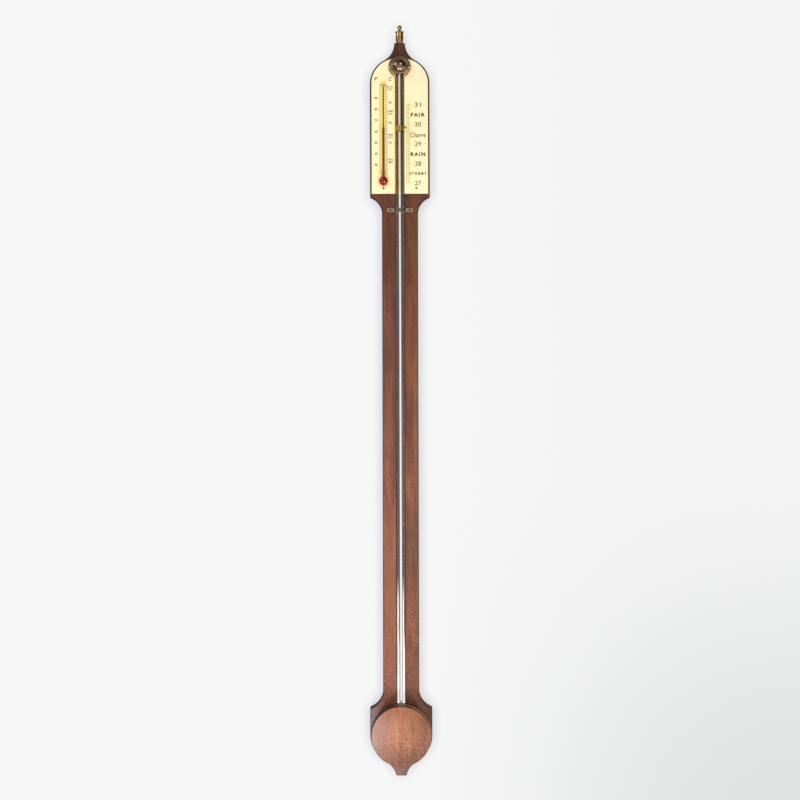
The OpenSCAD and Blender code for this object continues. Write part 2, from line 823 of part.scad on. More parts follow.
module thermometer_plate() {
  color(ivory) hung() plate() mirror([1, 0]) plate_outline();
}

module scale_plate() {
  color(ivory) hung() plate() plate_outline();
}

module thermometer_tube() {
  color(clear_glass) hung() difference() {
    union() {
      along_thermometer(stem_r, thermo_z, thermo_top - stem_r);
      translate([thermo_x, thermo_y, thermo_top - stem_r]) sphere(r = stem_r);
      translate([thermo_x, thermo_y, thermo_z]) sphere(r = thermo_bulb_r);
      translate([thermo_x, thermo_y, thermo_z - thermo_bulb_r - tip_h])
        cylinder(r1 = stem_bore_r, r2 = stem_r / 2, h = tip_h + thermo_bulb_wall);
    }
    along_thermometer(stem_bore_r, thermo_z, thermo_top - stem_od);
    translate([thermo_x, thermo_y, thermo_z]) sphere(r = thermo_bulb_in_r);
  }
}

module spirit_pool() {
  color(red_spirit) hung() {
    translate([thermo_x, thermo_y, thermo_z]) sphere(r = thermo_bulb_in_r - fit_gap);
    along_thermometer(stem_bore_r - fit_gap, thermo_z, column_z);
  }
}

module spirit_column() {
  color(red_spirit) hung()
    along_thermometer(stem_bore_r - fit_gap, column_z, spirit_z - spirit_top_h);
}

module spirit_top() {
  color(red_spirit) hung()
    along_thermometer(stem_bore_r - fit_gap, spirit_z - spirit_top_h, spirit_z);
}

module thermometer_staples() {
  color(brass) hung() {
    for (z = staple_heights)
      translate([thermo_x, thermo_y, z]) rotate([0, 0, 180])
        rotate_extrude(angle = 180) translate([staple_arch_r, 0]) circle(r = staple_r);
    staple_legs(staple_r, thermo_out);
  }
}

module hanging_plate() {
  color(brass) hung() difference() {
    let_in(0, hanger_t) difference() {
      hanger_outline();
      circle(r = hang_hole_r);
      translate([-hang_slot_w / 2, 0]) square([hang_slot_w, hang_slot_l - hang_slot_w / 2]);
      translate([0, hang_slot_l - hang_slot_w / 2]) circle(r = hang_slot_w / 2);
    }
    for (side = [-1, 1])
      countersunk(side * hanger_screw_x, hang_z, hanger_screw_r + fit_gap,
                  hanger_screw_head_r + fit_gap, 0, hanger_t + past);
  }
}

module hanging_plate_screws() {
  color(brass) hung() for (side = [-1, 1])
    countersunk(side * hanger_screw_x, hang_z, hanger_screw_r, hanger_screw_head_r, 0, hanger_screw_l);
}

trunk();
finial();
finial_stud();
tube_cap();
tube_cap_pins();
barometer_tube();
mercury_pool();
mercury_column();
mercury_meniscus();
cistern_stopper();
cistern_bed();
cistern_cover();
cover_pad();
cover_screws();
tube_clip();
clip_liner();
tube_cushion();
clip_screws();
cursor_sleeve();
cursor_pointer();
thermometer_plate();
scale_plate();
plate_pins();
thermometer_tube();
spirit_pool();
spirit_column();
spirit_top();
thermometer_staples();
hanging_plate();
hanging_plate_screws();
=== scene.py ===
# Stick barometer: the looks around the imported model, in metres and in the part's own frame.
# Heights in this script are millimetres above the zero of the scale, as in the CAD source.
import math

import bmesh
import bpy
from mathutils import Matrix, Vector


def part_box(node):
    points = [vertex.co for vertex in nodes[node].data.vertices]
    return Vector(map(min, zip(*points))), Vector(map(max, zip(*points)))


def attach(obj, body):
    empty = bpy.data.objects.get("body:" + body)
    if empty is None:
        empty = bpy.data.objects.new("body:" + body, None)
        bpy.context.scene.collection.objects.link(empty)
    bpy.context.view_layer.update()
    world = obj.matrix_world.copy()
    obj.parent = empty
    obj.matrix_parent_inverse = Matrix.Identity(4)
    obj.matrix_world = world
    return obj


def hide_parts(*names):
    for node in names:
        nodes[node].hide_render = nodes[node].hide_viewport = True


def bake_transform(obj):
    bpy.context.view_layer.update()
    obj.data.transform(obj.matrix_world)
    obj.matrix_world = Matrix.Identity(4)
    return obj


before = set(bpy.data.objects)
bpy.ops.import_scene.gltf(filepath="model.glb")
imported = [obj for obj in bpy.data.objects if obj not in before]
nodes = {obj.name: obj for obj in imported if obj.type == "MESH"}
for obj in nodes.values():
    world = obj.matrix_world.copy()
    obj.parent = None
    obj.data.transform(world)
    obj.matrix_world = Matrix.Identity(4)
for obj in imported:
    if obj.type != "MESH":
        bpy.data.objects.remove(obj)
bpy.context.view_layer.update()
scene = bpy.context.scene

# Sizes of the CAD model, in millimetres
MM = 0.001
HANG = 800.0
FACE = -18.0
NECK_Z, NECK_HALF, NECK_R = 863.7, 6.6, 24.5
DOME_X, DOME_R = 4.25, 33.0
DOME_Z = NECK_Z - math.sqrt((NECK_R + DOME_R) ** 2 - (NECK_HALF + NECK_R - DOME_X) ** 2)
HEAD_HALF, HEAD_BOTTOM = 37.25, 671.77
SHOULDER_Z, SHOULDER_R = 651.0, 22.0
STEM_HALF = 22.5
FOOT_Z, FOOT_R = 54.5, 24.0
BASE_HALF, BASE_TOP, BASE_Z = 38.75, 31.79, -1.2
TAIL_Z, TAIL_HALF, TAIL_R = -52.0, 6.25, 25.0
CAP_Z, CAP_SEAT_R = DOME_Z + 20.5, 9.2
TUBE_Y, TUBE_R, BORE_R, GROOVE_R, TUBE_TOP = -20.0, 4.8, 1.6, 6.28, CAP_Z + 4.0
BULB_X, BULB_Z, BULB_R, BULB_LENGTH, BULB_WALL = 15.1, -2.0, 9.5, 12.0, 1.2
BEND_Z, BEND_R = -8.5, 7.55
VENT_R, VENT_BORE_R, VENT_TOP = 3.25, 1.8, 22.5
PLATE_T, PLATE_IN, PLATE_OUT, PLATE_Z = 2.0, 5.73, 35.25, 675.27
PLATE_MID = (PLATE_IN + PLATE_OUT) / 2
PLATE_ARCH_R = 31.0
PLATE_FACE = FACE - PLATE_T
PIN_RISE, PIN_HOLE_R = 6.6, 0.85
THERMO_X, THERMO_Y, THERMO_Z = -PLATE_MID, -22.25, 690.87
THERMO_TOP, THERMO_HOLE_R, THERMO_R = 813.37, 5.5, 2.2
THERMO_BULB_R, THERMO_WALL, THERMO_TIP, THERMO_SEAT = 5.3, 0.5, 1.6, 1.25
STAPLE_X, STAPLE_R = 2.7, 0.5
CLIP_Z, CLIP_SCREW_X, CLIP_T = 654.8, 12.2, 1.1
COVER_Z, COVER_R, COVER_DEPTH = 2.2, 37.0, 29.0
HOLLOW_R, HOLLOW_DEPTH = 30.0, 18.0
POCKET_R, POCKET_DEPTH = 28.6, 10.0
COVER_SCREW_X = 33.5
SINK_R, SINK_DEPTH = 3.06, 0.2
CONE_R, CONE_END_R, CONE_START, CONE_LENGTH = 3.16, 1.5, 0.1, 1.66
HANGER_W, HANGER_H, HANGER_T, HANGER_SCREW_X = 46.0, 17.0, 2.0, 17.0
NAIL_R, NAIL_DEPTH, NAIL_RISE = 5.0, 8.0, 7.0
INLAY = 0.2
INCH_MARK, MID_MARK, MID_MARK_Z = 24.49, 30, 762.0
DEGREE, DEGREE_30_Z = 1.3875, 711.25

# Sizes of the scene's own, in millimetres, and directions in the part's frame
MERCURY_R, THREAD_R = BORE_R + 0.03, 1.0
BETWEEN_PLATES = (666.0, 684.0)
INK_T = 0.03
TINY = 1e-5
PROUD = 0.5
UP, INWARD, OUTWARD = (0, 0, 1), (0, 1, 0), (0, -1, 0)
SHARP_DEG, FELT_SHARP_DEG = 32.0, 60.0
MERGE_M = 1e-7


def at(x, y, z):
    return Vector((x, y, z - HANG)) * MM


# Mesh building

def put(name, data):
    """A new object in the scene."""
    obj = bpy.data.objects.new(name, data)
    scene.collection.objects.link(obj)
    return obj


def evaluated(obj):
    """A mesh of an object, with its modifiers or its lettering worked out."""
    bpy.context.view_layer.update()
    return bpy.data.meshes.new_from_object(obj.evaluated_get(bpy.context.evaluated_depsgraph_get()))


def link_mesh(name, bm, materials, sharp_deg=SHARP_DEG):
    """A new object from a closed bmesh, smooth but for the edges that are sharper than sharp_deg."""
    bmesh.ops.remove_doubles(bm, verts=bm.verts, dist=MERGE_M)
    bmesh.ops.recalc_face_normals(bm, faces=bm.faces)
    limit = math.radians(sharp_deg)
    for face in bm.faces:
        face.smooth = True
    for edge in bm.edges:
        edge.smooth = len(edge.link_faces) == 2 and edge.calc_face_angle(0.0) < limit
    mesh = bpy.data.meshes.new(name)
    bm.to_mesh(mesh)
    bm.free()
    for material in materials:
        mesh.materials.append(material)
    return put(name, mesh)


def piece(name, bm, materials, node=None, body="case", sharp_deg=SHARP_DEG):
    """A piece that rides on a body, with its materials. It may stand for a CAD node."""
    obj = link_mesh(name, bm, materials, sharp_deg)
    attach(obj, body)
    if node:
        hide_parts(node)
    return obj


def add_rings(bm, rings, material=0, close_start=True, close_end=True):
    """Joins rings of points into a skin, and closes its ends with flat faces."""
    made = [[bm.verts.new(p) for p in ring] for ring in rings]
    faces = []
    for low, high in zip(made, made[1:]):
        n = len(low)
        for i in range(n):
            j = (i + 1) % n
            faces.append(bm.faces.new((low[i], low[j], high[j], high[i])))
    if close_start:
        faces.append(bm.faces.new(list(reversed(made[0]))))
    if close_end:
        faces.append(bm.faces.new(made[-1]))
    for face in faces:
        face.material_index = material
    return faces


def circle_ring(centre, u, v, r, count):
    turn = 2 * math.pi / count
    return [centre + (u * math.cos(i * turn) + v * math.sin(i * turn)) * r for i in range(count)]


def turned(x, y, z, r, count):
    """A ring square to Y, which is never quite a point."""
    return circle_ring(at(x, y, z), Vector((1, 0, 0)), Vector((0, 0, 1)), max(r, TINY) * MM, count)


def lathe(bm, z, profile, count, materials):
    """Turns a profile of (radius, distance out of the board's face) about a line out of the board."""
    rings = [turned(0, FACE - d, z, r, count) for r, d in profile]
    last = len(rings) - 2
    for i, material in enumerate(materials):
        add_rings(bm, rings[i:i + 2], material, close_start=i == 0, close_end=i == last)


def rod(bm, centre, axis, r, length, count=48, r_end=None, material=0):
    """A rod or cone from a point along an axis, with its radii and its length in millimetres."""
    axis = Vector(axis).normalized()
    u = axis.orthogonal().normalized()
    v = axis.cross(u)
    end = r if r_end is None else r_end
    add_rings(bm, [circle_ring(centre, u, v, r * MM, count),
                   circle_ring(centre + axis * (length * MM), u, v, end * MM, count)], material)


def block(bm, low, high, material=0):
    """A box between two corners, in metres."""
    corners = [(low.x, low.y), (high.x, low.y), (high.x, high.y), (low.x, high.y)]
    add_rings(bm, [[Vector((x, y, z)) for x, y in corners] for z in (low.z, high.z)], material)


def inset(outline, distance):
    """An outline drawn in X and Z, moved inwards at each corner along its mitre."""
    moved = []
    n = len(outline)
    for i in range(n):
        before, here, after = (Vector(outline[(i + k) % n]) for k in (-1, 0, 1))
        a, b = (here - before).normalized(), (after - here).normalized()
        na, nb = Vector((-a.y, a.x)), Vector((-b.y, b.x))
        mitre = na + nb
        moved.append(tuple(here + mitre * (distance / max(0.35, 1 + na.dot(nb)))))
    return moved


def prism(bm, outline, back, front, edge_r, steps=3, sides=0, edge=0):
    """A sheet with rounded edges between two depths. The outline runs anticlockwise seen from the front."""
    rings = []
    for y, way, narrow, deep in ((back, -1, math.sin, math.cos), (front, 1, math.cos, math.sin)):
        for k in range(steps + 1):
            turn = math.pi / 2 * k / steps
            rings.append((inset(outline, edge_r * (1 - narrow(turn))), y + way * edge_r * (1 - deep(turn))))
    points = [[at(x, y, z) for x, z in drawn] for drawn, y in rings]
    last = len(points) - 1
    for i in range(last):
        material = sides if i == steps else edge
        add_rings(bm, points[i:i + 2], material, close_start=i == 0, close_end=i == last - 1)
    bm.faces.ensure_lookup_table()


def arc(centre, r, start, end, step=1.0):
    """Points on a circle from one point to another, the short way round, both ends included."""
    a = math.atan2(start[1] - centre[1], start[0] - centre[0])
    b = math.atan2(end[1] - centre[1], end[0] - centre[0])
    turn = (b - a + math.pi) % (2 * math.pi) - math.pi
    count = max(2, int(abs(turn) * r / step))
    return [(centre[0] + r * math.cos(a + turn * k / count),
             centre[1] + r * math.sin(a + turn * k / count)) for k in range(count + 1)]


def solid(shape, *values, **named):
    """A new bmesh with one shape in it."""
    bm = bmesh.new()
    shape(bm, *values, **named)
    return bm


def join(meshes):
    whole = bmesh.new()
    for bm in meshes:
        held = bpy.data.meshes.new("held")
        bm.to_mesh(held)
        bm.free()
        whole.from_mesh(held)
        bpy.data.meshes.remove(held)
    return whole


def cut(bm, cutters):
    """Takes closed cutters away from a closed bmesh, one after the other."""
    base = link_mesh("cut_base", bm, [])
    for cutter in cutters:
        tool = link_mesh("cut_tool", cutter, [])
        change = base.modifiers.new("cut", "BOOLEAN")
        change.operation = "DIFFERENCE"
        change.solver = "EXACT"
        change.object = tool
        made = evaluated(base)
        base.modifiers.clear()
        base.data = made
        bpy.data.objects.remove(tool)
    result = bmesh.new()
    result.from_mesh(base.data)
    bpy.data.objects.remove(base)
    return result


# Materials

class Graph:
    """A node tree, and short ways to add nodes to it."""

    def __init__(self, tree):
        self.tree = tree

    def feed(self, socket, value):
        """Links a socket to another one, or sets its value."""
        if isinstance(value, bpy.types.NodeSocket):
            self.tree.links.new(value, socket)
        elif socket.type == "RGBA":
            socket.default_value = (*value, 1.0)
        else:
            socket.default_value = value

    def node(self, kind, inputs=(), out=0, **settings):
        """A new node with its inputs fed. Gives back one of its outputs."""
        made = self.tree.nodes.new("ShaderNode" + kind)
        for name, value in settings.items():
            setattr(made, name, value)
        for key, value in dict(inputs).items():
            self.feed(made.inputs[key], value)
        return made.outputs[out]

    def math(self, operation, a, b=0.0, c=0.0):
        return self.node("Math", {0: a, 1: b, 2: c}, operation=operation)

    def times(self, product, *factors):
        for factor in factors:
            product = self.math("MULTIPLY", product, factor)
        return product

    def remap(self, value, low, high, to_low=0.0, to_high=1.0, smooth=True):
        kind = "SMOOTHSTEP" if smooth else "LINEAR"
        return self.node("MapRange", {
            "Value": value, "From Min": low, "From Max": high, "To Min": to_low, "To Max": to_high},
            interpolation_type=kind)

    def ramp(self, value, stops):
        made = self.tree.nodes.new("ShaderNodeValToRGB")
        self.feed(made.inputs["Fac"], value)
        elements = made.color_ramp.elements
        elements.remove(elements[1])
        elements[0].position = stops[0][0]
        for place, colour in stops[1:]:
            elements.new(place).color = (*colour, 1.0)
        elements[0].color = (*stops[0][1], 1.0)
        return made.outputs["Color"]

    def mix(self, share, a, b, blend="MIX"):
        return self.node("Mix", {"Factor": share, 6: a, 7: b}, 2, data_type="RGBA", blend_type=blend)


class Look(Graph):
    """A material with one Principled shader, laid out by places on the part."""

    def __init__(self, name, **sockets):
        self.material = bpy.data.materials.new(name)
        self.material.use_nodes = True
        super().__init__(self.material.node_tree)
        self.shader = self.tree.nodes["Principled BSDF"]
        self.set(**sockets)
        self.place = self.node("TexCoord", out="Object")
        self.colour = None

    def set(self, **sockets):
        for name, value in sockets.items():
            self.feed(self.shader.inputs[name.replace("_", " ")], value)
        return self.material

    def over(self, tone, *shares):
        """Lays a tone over the colour so far, by the product of some shares."""
        self.colour = self.mix(self.times(*shares), self.colour, tone)

    def noise(self, scale, stretch=1, detail=3.0, roughness=0.55, distortion=0.0, offset=(0, 0, 0)):
        """Noise, stretched along Z by a number or along each axis by three."""
        stretch = stretch if isinstance(stretch, tuple) else (1, 1, stretch)
        placed = self.node("Mapping", {"Vector": self.place, "Scale": stretch, "Location": offset})
        return self.node("TexNoise", {"Vector": placed, "Scale": scale, "Detail": detail,
                                      "Roughness": roughness, "Distortion": distortion})

    def axis(self, name):
        return self.node("SeparateXYZ", {"Vector": self.place}, name)

    def band(self, axis, span):
        """1 inside a span of millimetres along an axis: two numbers fade in, four fade in and out again."""
        place = self.axis(axis)
        ends = [(end - HANG if axis == "Z" else end) * MM for end in span]
        share = self.remap(place, ends[0], ends[1])
        if len(ends) == 4:
            share = self.times(share, self.remap(place, ends[3], ends[2]))
        return share

    def away(self, point, near, far, flat=False):
        """0 at one distance from a point, in millimetres, and 1 at another. A flat one leaves Y out."""
        place = self.place
        if flat:
            place = self.node("VectorMath", {0: place, 1: (1, 0, 1)}, operation="MULTIPLY")
        offset = self.node("VectorMath", {0: place, 1: tuple(point)}, "Value", operation="DISTANCE")
        return self.remap(offset, near * MM, far * MM)

    def bump(self, height, strength, distance):
        self.set(Normal=self.node("Bump", {"Height": height, "Strength": strength, "Distance": distance}))


def scaled(colour, by):
    return tuple(min(1.0, c * by) for c in colour)


def wood(name, dark, mid, light, rough, painted_light_gains=None, veils=(), seed=0.0, mottle_share=0.45, gloss=0.22,
         blotch=0.2, spread=0.11, squash=0.5, tints=(), bloom=None):
    """Satin wood with its grain along Z: broad figure, fine streaks, pores and a fine mottle.

    Painted light gains are colours that scale it by height, as painted sheen and shade. Each veil is a
    colour that comes in over spans of X, Y and Z; most veils are painted sheen or painted shade.
    Tints are cloudy second colours. A bloom is a fine pale and dark speckle over a span of Z.
    """
    look = Look(name, Specular_IOR_Level=gloss)
    offset = (seed, seed * 1.7, seed * 0.6)
    figure = look.noise(95.0, 0.06, 3.0, 0.5, 0.4, offset)
    streak = look.noise(820.0, 0.022, 5.0, 0.62, 0.2, offset)
    mottle = look.noise(760.0, squash, 4.0, 0.65, 0.3, offset)
    pores = look.remap(look.noise(2600.0, 0.05, 2.0, 0.5, 0.0, offset), 0.58, 0.72)
    patch = look.remap(look.noise(75.0, 0.5, 4.0, 0.6, 0.8, offset), 0.46, 0.68)
    specks = look.remap(look.noise(640.0, 0.8, 1.0, 0.5, 0.0, offset), 0.70, 0.76)
    grain = look.math("MULTIPLY_ADD", streak, 0.35, look.times(figure, 0.65 - mottle_share / 2))
    grain = look.math("MULTIPLY_ADD", mottle, mottle_share, grain)
    half = (1.0 + mottle_share / 2) / 2
    look.colour = look.ramp(grain, [(half - spread, dark), (half, mid), (half + spread, light)])
    look.over(scaled(dark, 0.45), pores, 0.35)
    look.over(dark, patch, blotch)
    for k, (tone, share, scale, stretch) in enumerate(tints):
        drift = (seed + 5.0 + 3.0 * k, seed, seed)
        look.over(tone, look.remap(look.noise(scale, stretch, 3.0, 0.55, 0.6, drift), 0.44, 0.62), share)
    if bloom:
        reach, share = bloom
        fleck = look.noise(430.0, 0.85, 2.0, 0.7, 0.0, (seed + 9.0, seed, seed))
        within = look.times(look.band("Z", reach), share)
        look.over(scaled(light, 1.25), look.remap(fleck, 0.54, 0.70), within)
        look.over(dark, look.remap(fleck, 0.46, 0.32), within)
    look.over(scaled(light, 1.7), specks, 0.5)
    # Painted sheen and shade: the colour is scaled by height.
    if painted_light_gains:
        height = look.remap(look.axis("Z"), (TAIL_Z - HANG) * MM, (NECK_Z - HANG) * MM, smooth=False)
        light_gain = look.ramp(height, [((z - TAIL_Z) / (NECK_Z - TAIL_Z), tone) for z, tone in painted_light_gains])
        look.colour = look.mix(1.0, look.colour, light_gain, "MULTIPLY")
    # Veils: colours laid over spans of the part, mostly painted sheen and painted shade.
    for *spans, share, tone in veils:
        look.over(tone, *(look.band(axis, span) for axis, span in zip("XYZ", spans) if span), share)
    look.bump(look.math("MULTIPLY_ADD", pores, -0.6, mottle), 0.1, 0.00012)
    finish = look.remap(grain, half - 0.15, half + 0.15, rough + 0.07, rough - 0.05)
    return look.set(Base_Color=look.colour, Roughness=finish)


def metal(name, colour, dull, rough, dull_share=0.5, scale=260.0, metallic=1.0, rim=None, coat=0.0):
    """Metal with a patchy film, fine scratches and small dents.

    A rim is painted light and shade: a point, two distances from it in X and Z, and the colours that
    come in between them, below and above the point.
    """
    look = Look(name, Metallic=metallic, Coat_Weight=coat, Coat_Roughness=0.07)
    film = look.noise(scale, 1, 4.0, 0.6)
    fine = look.noise(scale * 9, 1, 3.0, 0.6)
    look.colour = colour
    look.over(dull, look.remap(film, 0.38, 0.66), dull_share)
    if rim:
        point, near, far, low, high = rim
        # Painted light and shade: one colour below the point and another above it, beyond a distance.
        edge = look.mix(look.remap(look.axis("Z"), point.z - 9 * MM, point.z + 5 * MM), low, high)
        look.over(edge, look.away(point, near, far, flat=True))
    look.bump(look.math("MULTIPLY_ADD", film, 0.7, fine), 0.05, 0.0001)
    finish = look.math("MULTIPLY_ADD", fine, 0.10, look.math("MULTIPLY_ADD", film, 0.12, rough - 0.11))
    return look.set(Base_Color=look.colour, Roughness=finish)


def felt_look():
    look = Look("felt", Roughness=0.95, Sheen_Weight=0.6, Sheen_Roughness=0.5, Specular_IOR_Level=0.2)
    fibre = look.noise(5200.0, (1, 0.35, 0.6), 5.0, 0.75, 0.8)
    look.colour = look.ramp(fibre, [(0.3, (0.035, 0.045, 0.03)), (0.7, (0.11, 0.13, 0.085))])
    look.over((0.16, 0.15, 0.11), look.noise(700.0, 1, 3.0, 0.6), 0.4)
    look.bump(fibre, 0.6, 0.0003)
    return look.set(Base_Color=look.colour)


def ivorine():
    """Cream plate: cloudy, yellower towards its edges, amber along the thermometer and orange above its top,
    with a painted glow round the bulb.
    """
    look = Look("ivorine", Specular_IOR_Level=0.3)
    cloud = look.noise(70.0, 0.6, 4.0, 0.6, 0.5)
    fine = look.noise(900.0, 0.25, 3.0, 0.6)
    look.colour = look.ramp(cloud, [(0.3, (0.88, 0.74, 0.43)), (0.7, (0.90, 0.775, 0.50))])
    fade = 2.4
    inner = look.band("X", (-PLATE_IN - fade, -PLATE_IN, -PLATE_IN, 1 - PLATE_IN))
    outer = look.remap(look.math("ABSOLUTE", look.axis("X")), (PLATE_OUT - fade) * MM, PLATE_OUT * MM)
    rim = look.math("MAXIMUM", look.times(inner, 0.95), look.times(outer, 0.45))
    look.over((0.90, 0.63, 0.12), rim)
    ticks = look.band("X", (7.8, 8.6, 11.8, 13.0)), look.band("Z", (686.0, 690.0, 786.0, 789.0))
    look.over((0.84, 0.68, 0.22), *ticks, 0.42)
    across = look.band("X", [THERMO_X + off for off in (-5.3, -4.3, 4.3, 5.3)])
    along = look.band("Z", (THERMO_Z - 9, THERMO_Z + 4, THERMO_TOP + 1, THERMO_TOP + 3.5))
    look.over((0.83, 0.63, 0.17), across, along, 0.8)
    # A painted glow on the plate round the thermometer's bulb, as of light through the red spirit.
    look.over((0.95, 0.44, 0.06), look.away(at(THERMO_X, PLATE_FACE, THERMO_Z), 8.2, 5.6), 0.75)
    look.over((0.93, 0.58, 0.25), look.away(at(-20.6, PLATE_FACE, 822.5), 7.5, 0.5), 0.4)
    look.bump(look.math("MULTIPLY_ADD", fine, 0.4, cloud), 0.04, 0.0002)
    return look.set(Base_Color=look.colour, Roughness=look.remap(fine, 0.3, 0.7, 0.28, 0.42))


def ink(name, dark, light):
    look = Look(name, Roughness=0.6, Specular_IOR_Level=0.08)
    return look.set(Base_Color=look.ramp(look.noise(1600.0, 1, 3.0, 0.6), [(0.35, dark), (0.7, light)]))


def glass(tint, warm):
    """Clear glass, tinted warm where it stands between the plates."""
    look = Look("glass", Transmission_Weight=1.0, IOR=1.47, Specular_IOR_Level=0.1, Roughness=0.0)
    look.colour = look.ramp(look.noise(60.0, 0.02, 2.0, 0.5), [(0.3, tint), (0.7, scaled(tint, 1.02))])
    look.over(warm, look.band("Z", BETWEEN_PLATES))
    return look.set(Base_Color=look.colour)


def quicksilver():
    """Mercury, with a painted reflection of the brown groove on its flanks where the tube runs between the
    plates.
    """
    look = Look("mercury", Metallic=1.0)
    film = look.noise(120.0, 0.1, 3.0, 0.6)
    look.colour = look.ramp(film, [(0.3, (0.92, 0.92, 0.93)), (0.7, (0.98, 0.98, 0.98))])
    between = look.times(look.band("Z", BETWEEN_PLATES), 0.9)
    # Painted reflection of the brown groove on the mercury's flanks between the plates, darker on the right.
    look.over((0.30, 0.17, 0.07), look.band("X", (-0.7 * BORE_R, -1.0 * BORE_R)), between)
    look.over((0.10, 0.05, 0.012), look.band("X", (0.5 * BORE_R, 0.95 * BORE_R)), between)
    return look.set(Base_Color=look.colour, Roughness=look.remap(film, 0.3, 0.7, 0.11, 0.08))


def spirit():
    """Red spirit, with painted shade in the middle of the bulb and a painted glow towards the bulb's rim."""
    look = Look("red_spirit", Roughness=0.16, IOR=1.36, Specular_IOR_Level=0.12)
    depth = look.noise(600.0, 0.4, 3.0, 0.5)
    look.colour = look.ramp(depth, [(0.3, (0.19, 0.024, 0.001)), (0.7, (0.26, 0.036, 0.001))])
    middle = at(THERMO_X, 0, THERMO_Z)
    # Painted shade in the bulb's middle and a painted glow towards its rim.
    rim = look.away(middle, 2.6, 4.9, flat=True)
    bulb = look.mix(rim, (0.13, 0.0015, 0.001), (0.30, 0.010, 0.001))
    look.over(bulb, look.away(middle, 6.2, 5.4, flat=True))
    return look.set(Base_Color=look.colour)


def lining():
    """Wood of the groove: dark, as painted shade in the recess, and pale towards the foot of the tube, as
    painted light with a painted glow.
    """
    look = Look("groove_wood", Roughness=0.7, Specular_IOR_Level=0.15)
    grain = look.noise(700.0, 0.05, 4.0, 0.6)
    # Dark all over, as painted shade in the recess.
    look.colour = look.ramp(grain, [(0.35, (0.05, 0.021, 0.012)), (0.7, (0.10, 0.046, 0.028))])
    right = look.band("X", (-0.5, 0.5))
    # Between the plates, painted shade: darker on the right than on the left.
    head = look.mix(right, (0.08, 0.034, 0.002), (0.03, 0.012, 0.001))
    look.over(head, look.band("Z", (668.0, 682.0)))
    # Painted light: pale beside the glass towards the foot, from lower on the left than on the right.
    left = look.band("X", (0.05, -0.35))
    left_low = look.times(left, look.band("Z", (135.0, 98.0)))
    right_low = look.times(look.math("SUBTRACT", 1.0, left), look.band("Z", (200.0, 160.0)))
    share = look.times(look.math("ADD", left_low, right_low), look.band("Z", (20.0, 32.0)),
                       look.band("X", (-5.0, -4.3, 4.3, 5.0)))
    pale = look.mix(right, (0.98, 0.96, 0.87), (0.98, 0.91, 0.89))
    look.over(pale, share, 0.97)
    look.bump(grain, 0.1, 0.0002)
    # A painted glow near the foot, where the cover shades the groove.
    glow = look.times(share, look.band("Z", (95.0, 45.0)), 0.5)
    return look.set(Base_Color=look.colour, Emission_Color=pale, Emission_Strength=glow)


# Painted sheen and shade by height: the wood is brighter low down and darker towards the top.
PAINTED_LIGHT_GAINS = [(-52.0, (0.80, 0.77, 0.86)), (80.0, (0.94, 0.87, 0.835)), (300.0, (0.985, 0.905, 0.865)),
         (450.0, (0.83, 0.775, 0.735)), (600.0, (0.575, 0.49, 0.425)), (863.0, (0.34, 0.245, 0.20))]
# Painted sheen and painted shade by place on the board, and some tone. First: painted shade on the left of
# the stem's middle.
BOARD_SHEEN_SHADE_AND_TONE = [((0.0, -8.0), None, (530.0, 470.0, 400.0, 330.0), 0.22, (0.03, 0.018, 0.013)),
         # Painted sheen on the left of the stem, low down.
         ((2.0, -6.0), None, (310.0, 250.0), 0.22, (0.37, 0.145, 0.088)),
         # Painted shade on the right of the stem, low down.
         ((-3.0, 9.0), None, (310.0, 270.0, 210.0, 160.0), 0.3, (0.03, 0.022, 0.018)),
         # Painted shade on the right near the foot of the stem.
         ((-3.0, 9.0), None, (120.0, 90.0), 0.2, (0.03, 0.018, 0.013)),
         # A small darker patch right of the groove.
         ((5.5, 8.5, 11.5, 16.5), None, (98.0, 109.0, 119.0, 129.0), 0.45, (0.07, 0.022, 0.016)),
         # Painted sheen, greyish pink, on the left of the base.
         ((-22.0, -34.0), None, (60.0, 24.0), 0.85, (0.27, 0.185, 0.20)),
         # Warmer and lighter on the right of the base.
         ((18.0, 32.0), None, (60.0, 20.0), 0.3, (0.16, 0.08, 0.035)),
         # Painted sheen on the tail.
         (None, None, (-30.0, -44.0), 0.25, (0.22, 0.165, 0.16))]
BOARD = wood("mahogany", (0.125, 0.047, 0.027), (0.195, 0.078, 0.047), (0.285, 0.122, 0.077), 0.42,
             PAINTED_LIGHT_GAINS, BOARD_SHEEN_SHADE_AND_TONE, blotch=0.3, spread=0.085, bloom=((300.0, 80.0), 0.8),
             tints=(((0.29, 0.104, 0.040), 0.6, 150.0, 0.1), ((0.165, 0.050, 0.038), 0.4, 60.0, 0.3)))
# A darker copy of the wood: painted shade on the board's rounded edges.
BOARD_EDGE_SHADE = wood("mahogany_edge", (0.022, 0.009, 0.006), (0.042, 0.017, 0.011), (0.075, 0.032, 0.020), 0.5,
                  PAINTED_LIGHT_GAINS, seed=0.3, gloss=0.08)
# A darker copy of the wood: painted shade on the board's sides.
BOARD_SIDE_SHADE = wood("mahogany_side", (0.035, 0.013, 0.008), (0.065, 0.025, 0.016), (0.10, 0.042, 0.026), 0.4,
                  seed=0.7)
GROOVE = lining()
# Painted sheen, pale mauve, on the left of the disc.
DISC_SHEEN_SHADE_AND_TONE = [((-5.0, -34.0), None, None, 0.42, (0.40, 0.30, 0.295)),
              # Painted shade on the right of the disc.
              ((0.0, 28.0), None, None, 0.34, (0.08, 0.032, 0.016)),
              # Painted shade towards the bottom of the disc.
              (None, None, (-2.0, -34.0), 0.57, (0.07, 0.032, 0.022)),
              # More orange towards the top of the disc.
              (None, None, (12.0, 36.0), 0.4, (0.25, 0.072, 0.020)),
              # A pale streak in the wood.
              ((-6.4, -5.6, -5.3, -4.5), None, (-34.0, -6.0, 18.0, 30.0), 0.45, (0.62, 0.33, 0.24))]
